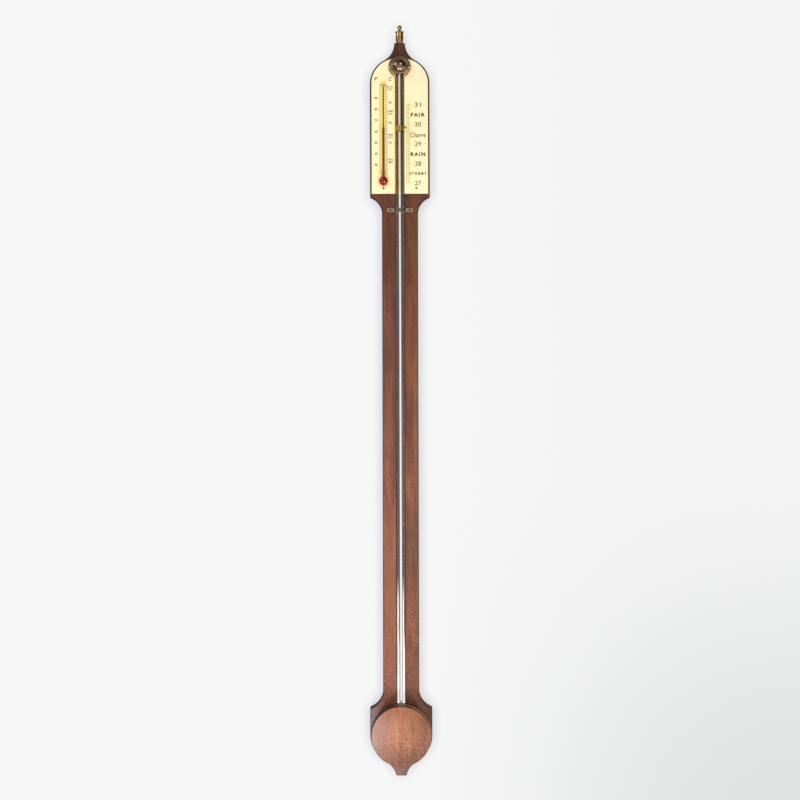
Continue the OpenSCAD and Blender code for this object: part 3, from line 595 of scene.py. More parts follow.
# A painted highlight: a pale band along the bead on the cover's side.
SIDE_PAINTED_HIGHLIGHT = [((-30.0, 24.0), (FACE - 17.6, FACE - 16.4, FACE - 13.2, FACE - 12.2), None, 0.8,
               (0.46, 0.30, 0.17))]
DISC = wood("turned_mahogany", (0.185, 0.064, 0.032), (0.305, 0.121, 0.069), (0.48, 0.225, 0.145), 0.36,
            veils=DISC_SHEEN_SHADE_AND_TONE, seed=2.3, mottle_share=0.66, gloss=0.2, blotch=0.5, spread=0.11, squash=0.8,
            tints=(((0.37, 0.165, 0.125), 0.3, 55.0, 0.7), ((0.46, 0.185, 0.062), 0.36, 75.0, 0.5)),
            bloom=((30.0, -16.0), 0.75))
# A darker copy of the turned wood: painted shade on the cover's side.
DISC_SIDE_SHADE = wood("turned_mahogany_side", (0.022, 0.009, 0.006), (0.045, 0.018, 0.012), (0.075, 0.033, 0.021),
                 0.36, veils=SIDE_PAINTED_HIGHLIGHT, seed=2.9)
BRASS = metal("brass", (0.50, 0.34, 0.14), (0.24, 0.14, 0.05), 0.24, 0.55)
BRASS_CURSOR = metal("brass_cursor", (0.50, 0.36, 0.12), (0.20, 0.12, 0.035), 0.26, 0.7)
BRASS_DARK = metal("brass_dark", (0.17, 0.12, 0.05), (0.06, 0.042, 0.02), 0.42, 0.6)
BRASS_FINIAL = metal("brass_finial", (0.345, 0.225, 0.092), (0.22, 0.14, 0.055), 0.26, 0.3, 90.0)
# Its rim paints the flange: a painted reflection, golden, below the cap's middle and painted shade above it.
BRASS_CAP = metal("brass_cap", (0.225, 0.135, 0.070), (0.105, 0.053, 0.026), 0.19, 0.6,
                  rim=(at(0, 0, CAP_Z), 9.6, 10.6, (0.50, 0.31, 0.12), (0.13, 0.075, 0.042)), coat=0.8)
# Its rim paints the clip's ears lighter than the arch over the tube: painted shade on the arch.
GREY = metal("grey_metal", (0.205, 0.165, 0.115), (0.115, 0.087, 0.058), 0.34, 0.6, 420.0, 0.9,
             rim=(at(0, 0, CLIP_Z), 6.0, 8.4, (0.34, 0.27, 0.185), (0.34, 0.27, 0.185)))
SCREW = metal("screw_metal", (0.15, 0.13, 0.08), (0.07, 0.06, 0.035), 0.45, 0.6, 420.0, 0.85)
STEEL = metal("steel", (0.50, 0.50, 0.50), (0.28, 0.26, 0.24), 0.34, 0.5)
FELT = felt_look()
PLATE = ivorine()
INK = ink("ink", (0.06, 0.038, 0.001), (0.16, 0.11, 0.006))
INK_PALE = ink("ink_pale", (0.15, 0.11, 0.006), (0.28, 0.22, 0.03))
INK_FINE = ink("ink_fine", (0.28, 0.235, 0.03), (0.42, 0.36, 0.08))
# A dark rod for the thermometer's empty bore: painted shade where the bore looks dark.
BORE = ink("bore", (0.10, 0.06, 0.008), (0.17, 0.11, 0.02))
GLASS = glass((0.96, 0.97, 0.965), (0.97, 0.865, 0.69))
MERCURY = quicksilver()
SPIRIT = spirit()


# Board

def board_outline():
    """The board's outline from the middle of its tail, anticlockwise seen from the front."""
    neck_c = (NECK_HALF + NECK_R, NECK_Z)
    dome_c = (DOME_X, DOME_Z)
    share = NECK_R / (NECK_R + DOME_R)
    neck_touch = tuple(n + (d - n) * share for n, d in zip(neck_c, dome_c))
    shoulder_c = (STEM_HALF + SHOULDER_R, SHOULDER_Z)
    foot_c = (STEM_HALF + FOOT_R, FOOT_Z)
    tail_end = (TAIL_HALF, TAIL_Z)
    reach = BASE_HALF + TAIL_R
    drop = TAIL_Z - BASE_Z
    length = math.hypot(TAIL_HALF, drop)
    along = (reach ** 2 - TAIL_R ** 2 + length ** 2) / (2 * length)
    side = math.sqrt(reach ** 2 - along ** 2)
    off_x, off_z = (TAIL_HALF * along - drop * side) / length, (drop * along + TAIL_HALF * side) / length
    tail_c = (off_x, BASE_Z + off_z)
    tail_touch = (off_x * BASE_HALF / reach, BASE_Z + off_z * BASE_HALF / reach)
    right = [tail_end]
    right += arc(tail_c, TAIL_R, tail_end, tail_touch)[1:]
    right += arc((0, BASE_Z), BASE_HALF, tail_touch, (BASE_HALF, BASE_Z))[1:]
    right += arc(foot_c, FOOT_R, (BASE_HALF, BASE_TOP), (STEM_HALF, FOOT_Z))
    right += arc(shoulder_c, SHOULDER_R, (STEM_HALF, SHOULDER_Z), (HEAD_HALF, HEAD_BOTTOM))
    right += arc(dome_c, DOME_R, (HEAD_HALF, DOME_Z), neck_touch)
    right += arc(neck_c, NECK_R, neck_touch, (NECK_HALF, NECK_Z))[1:]
    return right + [(-x, z) for x, z in reversed(right)]


def stadium(w, h, count=24):
    """An outline with round ends, w wide and h high, about the hanging hole."""
    r = h / 2
    ends = []
    for side in (1, -1):
        for k in range(count + 1):
            turn = -math.pi / 2 + math.pi * k / count + (0 if side > 0 else math.pi)
            ends.append((side * (w / 2 - r) + r * math.cos(turn), HANG + r * math.sin(turn)))
    return ends


def make_board():
    faces, sides, edges, groove = range(4)
    bm = solid(prism, board_outline(), 0.0, FACE, 0.8, 4, sides, edges)
    bm.normal_update()
    for face in bm.faces:
        if abs(face.normal.y) > 0.999 and len(face.verts) > 8:
            face.material_index = faces
    channel = solid(rod, at(0, TUBE_Y, 0), UP, GROOVE_R, TUBE_TOP + 1, 96, material=groove)
    pocket = solid(rod, at(0, FACE - 1, COVER_Z), INWARD, POCKET_R, POCKET_DEPTH + 1, 128, material=groove)
    bulb_seat = solid(rod, at(THERMO_X, FACE - 1, THERMO_Z), INWARD, THERMO_HOLE_R, THERMO_SEAT + 1, 64,
                      material=groove)
    inlay = stadium(HANGER_W + 2 * INLAY, HANGER_H + 2 * INLAY)
    hanger = solid(add_rings, [[at(x, y, z) for x, z in inlay] for y in (1.0, -HANGER_T - INLAY)])
    nail, nail_top = (solid(rod, at(0, PROUD, z), OUTWARD, NAIL_R, NAIL_DEPTH + PROUD, 64, material=groove)
                      for z in (HANG, HANG + NAIL_RISE))
    nail_mid = solid(block, at(-NAIL_R, -NAIL_DEPTH, HANG), at(NAIL_R, PROUD, HANG + NAIL_RISE), groove)
    sinks, cones = bmesh.new(), bmesh.new()
    for x in (-COVER_SCREW_X, COVER_SCREW_X):
        rod(sinks, at(x, PROUD, COVER_Z), OUTWARD, SINK_R, SINK_DEPTH + PROUD, 48, material=sides)
        rod(cones, at(x, -CONE_START, COVER_Z), OUTWARD, CONE_R, CONE_LENGTH, 48, CONE_END_R, sides)
    bm = cut(bm, [channel, pocket, bulb_seat, hanger, nail, nail_mid, nail_top, sinks, cones])
    piece("trunk_board", bm, [BOARD, BOARD_SIDE_SHADE, BOARD_EDGE_SHADE, GROOVE], "trunk")


make_board()


# Cistern cover, turned about a line out of the board

def make_cover():
    front, side, inside = range(3)
    edge_r, bead_r, bead_out, bead_at = 1.1, 0.9, 0.6, 14.0
    profile = [(0.0, 0.0), (COVER_R, 0.0)]
    kinds = [inside]
    lean = math.acos((bead_r - bead_out) / bead_r)
    for k in range(9):
        turn = -lean + 2 * lean * k / 8
        r = COVER_R - bead_r + bead_out + bead_r * math.cos(turn)
        profile.append((r, bead_at + bead_r * math.sin(turn)))
        kinds.append(side)
    for k in range(7):
        turn = math.pi / 2 * k / 6
        r = COVER_R - edge_r + edge_r * math.cos(turn)
        profile.append((r, COVER_DEPTH - edge_r + edge_r * math.sin(turn)))
        kinds.append(side if k == 0 else front)
    for r in (26.0, 13.0, 0.0):
        profile.append((r, COVER_DEPTH))
        kinds.append(front)
    shell = solid(lathe, COVER_Z, profile, 160, kinds)
    hollow = solid(rod, at(0, FACE + 1, COVER_Z), OUTWARD, HOLLOW_R, HOLLOW_DEPTH + 1, 128, material=inside)
    notch_r, notch_top = 5.2, COVER_R + 1.5
    notch = solid(rod, at(0, TUBE_Y, COVER_Z), UP, notch_r, notch_top, 64, material=side)
    mouth = solid(block, at(-notch_r, TUBE_Y, COVER_Z), at(notch_r, FACE + 1, COVER_Z + notch_top), side)
    bm = cut(shell, [hollow, notch, mouth])
    piece("cover_turning", bm, [DISC, DISC_SIDE_SHADE, GROOVE], "cistern_cover")


make_cover()


# Plates

def plate_outline(side):
    """One plate's outline, anticlockwise seen from the front. Its inner edge is cut out round the cap."""
    rise = math.sqrt(CAP_SEAT_R ** 2 - PLATE_IN ** 2)
    peak = (PLATE_IN, DOME_Z + math.sqrt(PLATE_ARCH_R ** 2 - (PLATE_IN - DOME_X) ** 2))
    points = [(PLATE_IN, PLATE_Z), (PLATE_OUT, PLATE_Z)]
    points += arc((DOME_X, DOME_Z), PLATE_ARCH_R, (PLATE_OUT, DOME_Z), peak)
    points += arc((0.0, CAP_Z), CAP_SEAT_R, (PLATE_IN, CAP_Z + rise), (PLATE_IN, CAP_Z - rise), 0.5)
    if side < 0:
        points = [(-x, z) for x, z in reversed(points)]
    return points


def make_plate(name, side, node, holes):
    bm = solid(prism, plate_outline(side), FACE, PLATE_FACE, 0.3)
    drills = [solid(rod, at(x, FACE + 1, z), OUTWARD, r, PLATE_T + 2) for x, z, r in holes]
    piece(name, cut(bm, drills), [PLATE], node)


pin_z = PLATE_Z + PIN_RISE
staples_z = (THERMO_Z + 10, THERMO_TOP - 3)
make_plate("scale_plate_face", 1, "scale_plate", [(PLATE_MID, pin_z, PIN_HOLE_R)])
make_plate("thermometer_plate_face", -1, "thermometer_plate",
           [(-PLATE_MID, pin_z, PIN_HOLE_R), (THERMO_X, THERMO_Z, THERMO_HOLE_R)]
           + [(THERMO_X + side * STAPLE_X, z, STAPLE_R) for side in (-1, 1) for z in staples_z])


# Printing on the plates, as thin raised ink. These are half the widths of its lines.

RULE, FINE, MARK, TENTH = 0.14, 0.16, 0.24, 0.27


def bar(bm, x0, x1, z, half, material=1):
    """A printed line across a plate, as high as twice a half."""
    block(bm, at(x0, PLATE_FACE - INK_T, z - half), at(x1, PLATE_FACE + INK_T, z + half), material)


def upright(bm, x, z0, z1):
    block(bm, at(x - RULE, PLATE_FACE - INK_T, z0), at(x + RULE, PLATE_FACE + INK_T, z1), 1)


def words(bm, text, x, z, width, height, bold=0.0, shear=0.0, spread=1.0, material=0):
    """Plain lettering about a point, fitted to a width and a height in millimetres."""
    drawn = bpy.data.curves.new("words", "FONT")
    drawn.body = text
    drawn.size = height * MM
    drawn.shear = shear
    drawn.extrude = INK_T * MM
    drawn.offset = bold * MM
    drawn.space_character = spread
    drawn.resolution_u = 3
    holder = put("words", drawn)
    made = evaluated(holder)
    low = Vector(min(v.co[k] for v in made.vertices) for k in range(3))
    high = Vector(max(v.co[k] for v in made.vertices) for k in range(3))
    fitted = Matrix.Diagonal((width * MM / (high.x - low.x), height * MM / (high.y - low.y), 1, 1))
    made.transform(Matrix.Translation(at(x, PLATE_FACE, z)) @ Matrix.Rotation(math.pi / 2, 4, "X")
                   @ fitted @ Matrix.Translation(-(low + high) / 2))
    for polygon in made.polygons:
        polygon.material_index = material
    bm.from_mesh(made)
    bpy.data.objects.remove(holder)
    bpy.data.curves.remove(drawn)
    bpy.data.meshes.remove(made)


def degree_z(f):
    return DEGREE_30_Z + (f - 30) * DEGREE


def celsius_z(c):
    return degree_z(32 + c * 1.8)


def inch_z(inches):
    return MID_MARK_Z + (inches - MID_MARK) * INCH_MARK


def make_thermometer_marks():
    bm = bmesh.new()
    near, short, far = 2.35, 3.0, 4.7
    for x in (THERMO_X - far, THERMO_X + far):
        upright(bm, x, degree_z(23), degree_z(102))
    for f in range(24, 103):
        start = short if f % 5 else near
        bar(bm, THERMO_X - far + RULE, THERMO_X - start, degree_z(f), FINE)
    for c in range(-4, 39):
        bar(bm, THERMO_X + near, THERMO_X + far - RULE, celsius_z(c), MARK, 0)
    number_x, celsius_x = -29.6, -12.1
    for f in range(30, 100, 10):
        words(bm, str(f), number_x, degree_z(f), 3.9, 3.1, 0.07)
    for c in range(0, 40, 10):
        words(bm, str(c), celsius_x, celsius_z(c), 3.7 if c else 1.7, 2.8, 0.07)
    words(bm, "F", number_x, 818.7, 5.0, 4.8, 0.1, 0.35)
    words(bm, "C", celsius_x + 0.4, 818.4, 4.4, 4.8, 0.14, 0.35)
    for lines, z in ((("BLOOD", "HEAT"), 807.2), (("SUMMER", "HEAT"), 776.6), (("TEMPE", "RATE"), 747.1),
                     (("FREEZ", "ING"), 716.2)):
        for k, line in enumerate(lines):
            words(bm, line, celsius_x + 0.3, z + 1.6 - 3.2 * k, 7.2 - 1.4 * k, 2.3, 0.05, 0.0, 1.1)
    piece("thermometer_marks", bm, [INK, INK_FINE])


def make_scale_marks():
    bm = bmesh.new()
    left, right, near, mid, beyond, far = 8.4, 12.0, 17.0, 22.6, 28.4, 33.6
    for x in (left, right):
        upright(bm, x, inch_z(27), inch_z(31))
    for tenth in range(270, 311):
        z = inch_z(tenth / 10)
        bar(bm, left + RULE, right - RULE, z, TENTH)
        if tenth % 10 == 0:
            bar(bm, right + RULE, near, z, FINE)
            bar(bm, beyond, far, z, FINE)
            words(bm, str(tenth // 10), mid, z - 0.3, 8.2, 6.0, 0.1, material=2)
    words(bm, "FAIR", mid, 773.6, 17.8, 4.9, 0.25, 0.0, 1.35)
    words(bm, "Change", mid, 747.6, 19.4, 8.0, 0.16, 0.1, 1.06, material=2)
    words(bm, "RAIN", mid, 724.4, 18.6, 4.9, 0.23, 0.0, 1.3)
    words(bm, "STORMY", mid, 700.3, 21.6, 3.7, 0.16, 0.0, 1.4)
    piece("scale_marks", bm, [INK, INK_FINE, INK_PALE])


make_thermometer_marks()
make_scale_marks()


# Glass, swept along a line in the plane of the tube's axis

def sweep(bm, y, stations, count=64):
    """Rings about points (x, z), square to directions (dx, dz), with radii r."""
    rings = []
    for x, z, dx, dz, r in stations:
        across = Vector((dz, 0, -dx)).normalized()
        rings.append(circle_ring(at(x, y, z), across, Vector((0, 1, 0)), max(r, TINY) * MM, count))
    add_rings(bm, rings)


def ball_end(x, z, r, up, steps=10):
    """Stations of a half ball from its pole to its middle, above or below the middle at z."""
    turns = [math.pi / 2 * (1 - k / steps) for k in range(steps + 1)]
    return [(x, z + up * r * math.sin(a), 0, -1, r * math.cos(a)) for a in turns]


def ease(t):
    t = min(max(t, 0.0), 1.0)
    return t * t * (3 - 2 * t)


def tube_skin(r, bulb_r, vent_r):
    """Stations of the barometer tube's outer or inner skin, from its closed top to the end of its vent."""
    stations = ball_end(0, TUBE_TOP - TUBE_R, r, 1)
    bulb_foot = math.sqrt(bulb_r ** 2 - (BULB_Z - BEND_Z) ** 2)
    for k in range(33):
        turn = math.pi + math.pi * k / 32
        grown = ease((k - 24) / 8)
        stations.append((BEND_R + BEND_R * math.cos(turn), BEND_Z + BEND_R * math.sin(turn),
                         -math.sin(turn), math.cos(turn), r + (bulb_foot - r) * grown))
    for k in range(1, 9):
        z = BEND_Z + (BULB_Z - BEND_Z) * k / 8
        stations.append((BULB_X, z, 0, 1, math.sqrt(bulb_r ** 2 - (BULB_Z - z) ** 2)))
    top = BULB_Z + BULB_LENGTH
    last = math.acos(vent_r / bulb_r)
    for k in range(13):
        turn = last * k / 12
        stations.append((BULB_X, top + bulb_r * math.sin(turn), 0, 1, bulb_r * math.cos(turn)))
    stations.append((BULB_X, VENT_TOP, 0, 1, vent_r))
    return stations


def make_glass(name, bm, materials, node):
    obj = piece(name, bm, materials, node)
    obj.visible_shadow = obj.visible_diffuse = False


def make_tube():
    outside = tube_skin(TUBE_R, BULB_R, VENT_R)
    inside = tube_skin(BORE_R, BULB_R - BULB_WALL, VENT_BORE_R)
    bm = solid(sweep, TUBE_Y, outside + inside[::-1])
    make_glass("barometer_tube_glass", bm, [GLASS], "barometer_tube")


def make_thermometer():
    joint = THERMO_Z + math.sqrt(THERMO_BULB_R ** 2 - (THERMO_R + 0.6) ** 2)
    outside = ball_end(THERMO_X, THERMO_TOP - THERMO_R, THERMO_R, 1)
    outside.append((THERMO_X, joint + 2.2, 0, -1, THERMO_R))
    outside.append((THERMO_X, joint + 0.7, 0, -1, THERMO_R + 0.12))
    first = math.asin((joint - THERMO_Z) / THERMO_BULB_R)
    last = -math.acos(1.3 / THERMO_BULB_R)
    for k in range(25):
        turn = first + (last - first) * k / 24
        z = THERMO_Z + THERMO_BULB_R * math.sin(turn)
        outside.append((THERMO_X, z, 0, -1, THERMO_BULB_R * math.cos(turn)))
    outside.append((THERMO_X, THERMO_Z - THERMO_BULB_R - THERMO_TIP, 0, -1, 0.5))
    foot = THERMO_Z + THERMO_BULB_R - THERMO_WALL
    length = THERMO_TOP - 2 * THERMO_R - foot
    # The bore is a dark rod: painted shade for the empty capillary.
    bore = solid(rod, at(THERMO_X, THERMO_Y, foot), UP, 0.6, length, 32, material=1)
    whole = join([solid(sweep, THERMO_Y, outside), bore])
    make_glass("thermometer_glass", whole, [GLASS, BORE], "thermometer_tube")


make_tube()
make_thermometer()


# Liquids that rise and fall: columns of two rings of points each, and rounded ends that ride on the moving
# bodies

def make_column(name, x, y, r, low, high, material, slot, node, moving):
    obj = link_mesh(name, solid(rod, at(x, y, low), UP, r, high - low), [material])
    obj.visible_diffuse = False
    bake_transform(obj)
    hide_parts(node)


def make_top(name, x, y, r, low, high, rise, material, slot, node, body):
    """The moving end of a column, with a rounded top. It starts inside the column."""
    sunk, r = 0.4, r - 0.03
    stations = [(x, low - sunk, 0, 1, r), (x, high - rise, 0, 1, r)]
    for k in range(1, 9):
        turn = math.pi / 2 * k / 8
        stations.append((x, high - rise + rise * math.sin(turn), 0, 1, r * math.cos(turn)))
    piece(name, solid(sweep, y, stations, 48), [material], node, body)


def node_span(node):
    low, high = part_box(node)
    return low.z / MM + HANG, high.z / MM + HANG


make_column("mercury_thread", 0, TUBE_Y, MERCURY_R, *node_span("mercury_column"), MERCURY, "mercury",
            "mercury_column", "mercury")
make_top("mercury_top", 0, TUBE_Y, MERCURY_R, *node_span("mercury_meniscus"), 0.5, MERCURY, "mercury",
         "mercury_meniscus", "mercury")
make_column("spirit_thread", THERMO_X, THERMO_Y, THREAD_R, *node_span("spirit_column"), SPIRIT, "red_spirit",
            "spirit_column", "spirit")
make_top("spirit_end", THERMO_X, THERMO_Y, THREAD_R, *node_span("spirit_top"), 0.35, SPIRIT, "red_spirit",
         "spirit_top", "spirit")


def make_spirit_pool():
    r = THERMO_BULB_R - 0.25
    start = math.acos(THREAD_R / r)
    stations = [(THERMO_X, node_span("spirit_column")[0] + 0.3, 0, -1, THREAD_R - 0.02)]
    for k in range(33):
        turn = start + (-math.pi / 2 - start) * k / 32
        stations.append((THERMO_X, THERMO_Z + r * math.sin(turn), 0, -1, r * math.cos(turn)))
    piece("spirit_bulb", solid(sweep, THERMO_Y, stations), [SPIRIT], "spirit_pool")


make_spirit_pool()


# Screws with slotted heads

def slotted(profile, x, z, slot_w, slot_depth, turn, toward_front):
    """A turned screw along Y with a slot across its head. The profile runs from its tip to its head."""
    bm = solid(add_rings, [turned(x, y, z, r, 40) for r, y in profile])
    top = profile[-1][1]
    out = -1 if toward_front else 1
    reach = max(r for r, y in profile) + 1
    low, high = sorted((top - out * slot_depth, top + out * 1.0))
    corners = Vector((-reach, low, -slot_w / 2)) * MM, Vector((reach, high, slot_w / 2)) * MM
    slot_cut = solid(block, *corners)
    slot_cut.transform(Matrix.Translation(at(x, 0, z)) @ Matrix.Rotation(math.radians(turn), 4, "Y"))
    return cut(bm, [slot_cut])


def threaded(r, start, end, pitch, depth):
    """A shank's profile with the ridges of its thread."""
    steps = int(abs(end - start) / pitch)
    way = 1 if end > start else -1
    profile = [(0.0, start), (r * 0.25, start)]
    for k in range(steps):
        y = start + way * pitch * (k + 0.5)
        taper = min(1.0, 0.4 + 0.2 * k)
        profile.append(((r - depth) * taper, y - way * pitch * 0.35))
        profile.append((r * taper, y))
    profile.append((r - depth, end))
    return profile


def dome(head_r, rise, seat, out, steps=8):
    """A rounded head's profile above its seat."""
    ball = (head_r ** 2 + rise ** 2) / (2 * rise)
    made = []
    for k in range(steps + 1):
        r = head_r * (1 - k / steps)
        made.append((r, seat + out * (math.sqrt(ball ** 2 - r ** 2) - (ball - rise))))
    return made


def screws(name, node, profile, x, z, slot, turns, toward_front, material):
    """The same screw on both sides of the middle, with each slot at an angle of its own."""
    pair = [slotted(profile, side * x, z, *slot, turn, toward_front) for side, turn in zip((-1, 1), turns)]
    piece(name, join(pair), [material], node)


clip_seat = FACE - CLIP_T
clip_profile = (threaded(1.2, FACE + 9, clip_seat, 0.9, 0.25)
                + [(1.2, clip_seat), (1.9, clip_seat)] + dome(1.9, 0.75, clip_seat - 0.35, -1))
screws("clip_screws_slotted", "clip_screws", clip_profile, CLIP_SCREW_X, CLIP_Z, (0.5, 0.6),
       (35, -20), True, SCREW)
cover_profile = (threaded(1.5, FACE - 11, -INLAY - 1.6, 1.1, 0.3)
                 + [(1.5, -INLAY - 1.5), (3.0, -INLAY), (0.0, -INLAY)])
screws("cover_screws_slotted", "cover_screws", cover_profile, COVER_SCREW_X, COVER_Z, (0.8, 0.9),
       (15, 70), False, STEEL)
hanger_profile = threaded(1.3, -11, -1.4, 1.0, 0.28) + [(1.3, -1.3), (2.6, 0.0), (0.0, 0.0)]
screws("hanging_plate_screws_slotted", "hanging_plate_screws", hanger_profile, HANGER_SCREW_X, HANG,
       (0.7, 0.8), (50, -10), False, BRASS)


# Felt: soft blocks with rounded, slightly uneven skins

def soften(bm, amount, seed):
    """Moves each point a little along its normal, by a fixed pattern."""
    bm.normal_update()
    for k, vert in enumerate(bm.verts):
        wave = math.sin(k * 12.9898 + seed) * 43758.5453
        vert.co += vert.normal * amount * MM * ((wave - math.floor(wave)) - 0.5)


def felt_arch(bm, r_in, r_out, z0, z1, start, end, straight):
    """A felt strip bent round the tube, from one angle to another about its axis, with rounded edges."""
    edge = (r_out - r_in) * 0.3
    section = [(r_in, z0 + edge), (r_in + edge, z0), (r_out - edge, z0), (r_out, z0 + edge),
               (r_out, z1 - edge), (r_out - edge, z1), (r_in + edge, z1), (r_in, z1 - edge)]
    rings = []
    count = 28
    for k in range(count + 1):
        turn = start + (end - start) * k / count
        rings.append([at(r * math.cos(turn), TUBE_Y + r * math.sin(turn), z) for r, z in section])
    if straight:
        drop = Vector((0, straight * MM, 0))
        rings = [[p + drop for p in rings[0]]] + rings + [[p + drop for p in rings[-1]]]
    add_rings(bm, rings)


for name, node, r_in, r_out, half, ends, straight, rough, seed in (
        ("clip_liner_felt", "clip_liner", 4.86, 5.64, 2.35, (-180, 0), 1.95, 0.05, 0.4),
        ("tube_cushion_felt", "tube_cushion", 4.86, 6.2, 4.6, (22, 158), 0.0, 0.06, 1.1)):
    strip = solid(felt_arch, r_in, r_out, CLIP_Z - half, CLIP_Z + half, *map(math.radians, ends), straight)
    soften(strip, rough, seed)
    piece(name, strip, [FELT], node, sharp_deg=FELT_SHARP_DEG)


def make_pad(name, node, seed):
    """A felt block with crowned sides, hollowed where it clasps the bulb."""
    hollow_r, crown, over = 9.56, 0.05, 5.0
    low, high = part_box(node)
    bm = solid(block, low, high)
    bmesh.ops.subdivide_edges(bm, edges=bm.edges, cuts=7, use_grid_fill=True)
    middle = (low + high) / 2
    half = (high - low) / 2
    for vert in bm.verts:
        off = [(c - m) / h for c, m, h in zip(vert.co, middle, half)]
        pull = [1 - crown * (a * a + b * b)
                for a, b in ((off[1], off[2]), (off[0], off[2]), (off[0], off[1]))]
        vert.co = Vector(m + (c - m) * p for c, m, p in zip(vert.co, middle, pull))
    foot = Vector((BULB_X * MM, TUBE_Y * MM, low.z - over * MM))
    bulb = solid(rod, foot, UP, hollow_r, (high.z - low.z) / MM + 2 * over, 96)
    bm = cut(bm, [bulb])
    soften(bm, 0.08, seed)
    obj = piece(name, bm, [FELT], node, sharp_deg=FELT_SHARP_DEG)


make_pad("cistern_bed_felt", "cistern_bed", 3.0)
make_pad("cover_pad_felt", "cover_pad", 1.0)


# Materials of the CAD nodes that stay

def dress(node, material):
    mesh = nodes[node].data
    mesh.materials.clear()
    mesh.materials.append(material)
    mesh.shade_smooth()
    mesh.set_sharp_from_angle(angle=math.radians(SHARP_DEG))


for node, material in (
        ("finial", BRASS_FINIAL), ("finial_stud", STEEL), ("tube_cap", BRASS_CAP), ("tube_cap_pins", BRASS),
        ("mercury_pool", MERCURY), ("cistern_stopper", FELT), ("tube_clip", GREY),
        ("cursor_sleeve", BRASS_CURSOR), ("cursor_pointer", BRASS_CURSOR), ("plate_pins", BRASS_DARK),
        ("thermometer_staples", BRASS_DARK), ("hanging_plate", BRASS)):
    dress(node, material)


# Stage: a white wall right behind the board and a pale floor below

def plane(name, corners):
    mesh = bpy.data.meshes.new(name)
    mesh.from_pydata(corners, [], [range(len(corners))])
    obj = put(name, mesh)
    return obj


def wall_look():
    """White paint with a painted shadow beside the board, and painted shade towards the right and the bottom
    right. It lets light and views through from behind.
    """
    look = Look("wall")
    near = look.node("AmbientOcclusion", {"Distance": 0.0145}, "AO", samples=16)
    x, z = look.axis("X"), look.axis("Z")
    # Painted shade: darker towards the right, and more so towards the bottom right corner.
    look.colour = look.mix(look.remap(x, -0.1, 0.4), (0.928, 0.928, 0.93), (0.896, 0.896, 0.896))
    look.over((0.69, 0.715, 0.71), look.remap(x, 0.0, 0.5), look.remap(z, -0.45, -0.95), 0.8)
    shadow = look.mix(look.remap(x, -0.01, 0.01), (0.69, 0.71, 0.785), (0.70, 0.685, 0.68))
    look.over(shadow, look.remap(near, 0.45, 0.97, 1.0, 0.0, smooth=False))
    glossy, shading = (look.node("LightPath", out=ray) for ray in ("Is Glossy Ray", "Is Shadow Ray"))
    strength = look.math("SUBTRACT", 1.0, look.times(glossy, 0.7))
    glow = look.node("Emission", {"Color": look.colour, "Strength": strength})
    either = look.math("MAXIMUM", look.node("NewGeometry", out="Backfacing"), shading)
    mixed = look.node("MixShader", {"Fac": either, 1: glow, 2: look.node("BsdfTransparent")})
    look.feed(look.tree.nodes["Material Output"].inputs["Surface"], mixed)
    return look.material


WALL_Y, FLOOR_Z = 0.0008, -1.9
wall = plane("wall", [(-5, WALL_Y, FLOOR_Z), (5, WALL_Y, FLOOR_Z), (5, WALL_Y, 3.5), (-5, WALL_Y, 3.5)])
wall.data.materials.append(wall_look())
floor = plane("floor", [(-6, -6, FLOOR_Z), (6, -6, FLOOR_Z), (6, 6, FLOOR_Z), (-6, 6, FLOOR_Z)])
paint = Look("floor_paint", Roughness=0.7)
paint.set(Base_Color=paint.ramp(paint.noise(3.0), [(0.3, (0.80, 0.80, 0.81)), (0.7, (0.84, 0.84, 0.84))]),
          Emission_Color=(1.0, 1.0, 1.0), Emission_Strength=0.62)
floor.data.materials.append(paint.material)
floor.visible_diffuse = floor.visible_glossy = floor.visible_transmission = floor.visible_shadow = False


# Light

def lamp(name, place, target, size, watts, colour=(1, 1, 1)):
    data = bpy.data.lights.new(name, "AREA")
    data.shape = "RECTANGLE"
    data.size = data.size_y = size
    data.energy = watts
    data.color = colour
    obj = put(name, data)
    obj.location = place
    obj.rotation_euler = (Vector(target) - Vector(place)).to_track_quat("-Z", "Y").to_euler()
    obj.visible_camera = obj.visible_transmission = False


lamp("low_left", (-0.55, -1.3, -1.55), (0, 0, -0.5), 0.4, 13.0)
lamp("low_right", (0.6, -1.25, -1.5), (0, 0, -0.5), 0.4, 9.0)
lamp("side_left", (-1.42, -0.52, 0.8), (0, 0, 0), 0.5, 9.0, (0.95, 0.97, 1.0))
lamp("side_right", (1.2, -0.3, -0.45), (0, 0, -0.8), 0.3, 1.2)
lamp("high_front", (0.6, -1.5, 0.95), (0, 0, -0.3), 0.9, 7.0)
lamp("back", (0.9, 1.8, 0.8), (0, 0, -0.4), 1.2, 20)

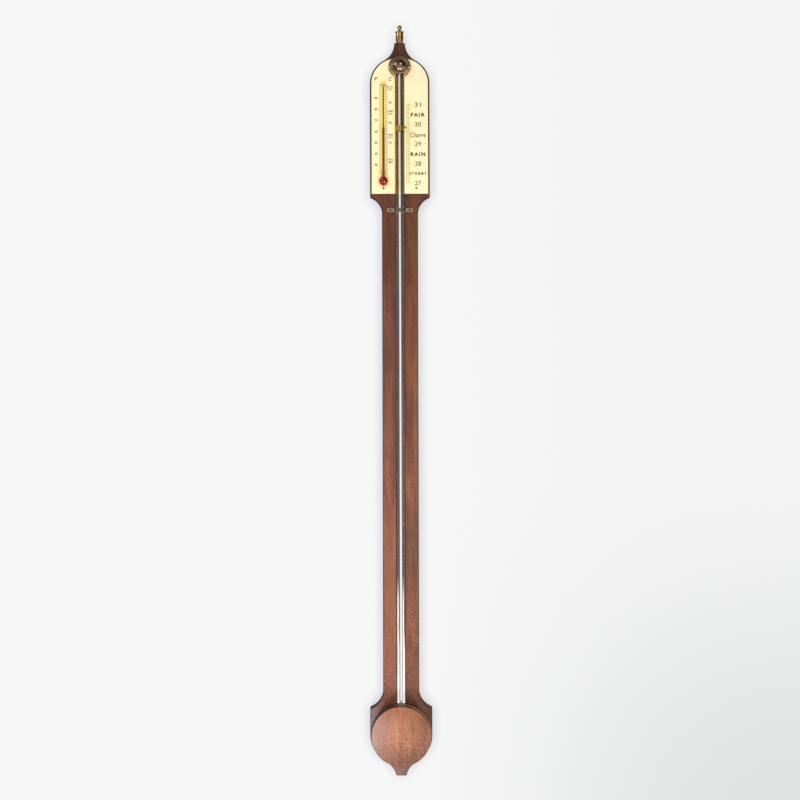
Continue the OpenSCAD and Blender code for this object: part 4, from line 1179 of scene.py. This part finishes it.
world = bpy.data.worlds.new("room")
scene.world = world
world.use_nodes = True
world.node_tree.nodes.clear()
room = Graph(world.node_tree)
ray = room.node("TexCoord", out="Generated")
height = room.node("SeparateXYZ", {"Vector": ray}, "Z")
shade = room.ramp(room.remap(height, -1.0, 1.0, smooth=False), [
    (0.0, (1.0, 1.0, 1.0)), (0.075, (1.3, 1.3, 1.3)), (0.275, (1.3, 1.3, 1.3)), (0.375, (1.1, 1.1, 1.1)),
    (0.5, (1.0, 1.0, 1.0)), (0.55, (0.9, 0.88, 0.85)), (0.6, (0.76, 0.71, 0.64)), (0.7, (0.5, 0.48, 0.45)),
    (1.0, (0.45, 0.45, 0.46))])
high_lean = room.remap(height, 0.06, 0.17, 0.0, 0.75, smooth=False)
low_lean = room.remap(height, -0.06, -0.14, 0.0, -0.2, smooth=False)
side = room.node("CombineXYZ", {"X": room.math("ADD", high_lean, low_lean), "Y": 1.0})
unit = room.node("VectorMath", {0: side}, operation="NORMALIZE")
facing = room.node("VectorMath", {0: unit, 1: ray}, "Value", operation="DOT_PRODUCT")
ahead = room.remap(room.math("ADD", facing, low_lean), -0.15, -0.8, 0.07, 0.95)
lit = room.node("Background", {"Color": shade, "Strength": ahead})
pale = room.node("Background", {"Color": (0.9, 0.9, 0.91)})
mixed = room.node("MixShader", {"Fac": room.node("LightPath", out="Is Camera Ray"), 1: lit, 2: pale})
room.feed(room.tree.nodes.new("ShaderNodeOutputWorld").inputs["Surface"], mixed)

# Camera: square to the board, level with its middle, in an 800 by 800 image
MM_PER_PIXEL, PIXELS = 1.25, 800
DISTANCE = 2.07
eye = bpy.data.cameras.new("camera")
eye.sensor_width = 36.0
eye.lens = eye.sensor_width * DISTANCE / (MM_PER_PIXEL * PIXELS * MM)
camera = put("camera", eye)
camera.location = at(-0.6, FACE, 417.5) + Vector((0, -DISTANCE, 0))
camera.rotation_euler = (math.pi / 2, math.radians(0.15), 0)
scene.camera = camera
scene.view_settings.view_transform = "Standard"
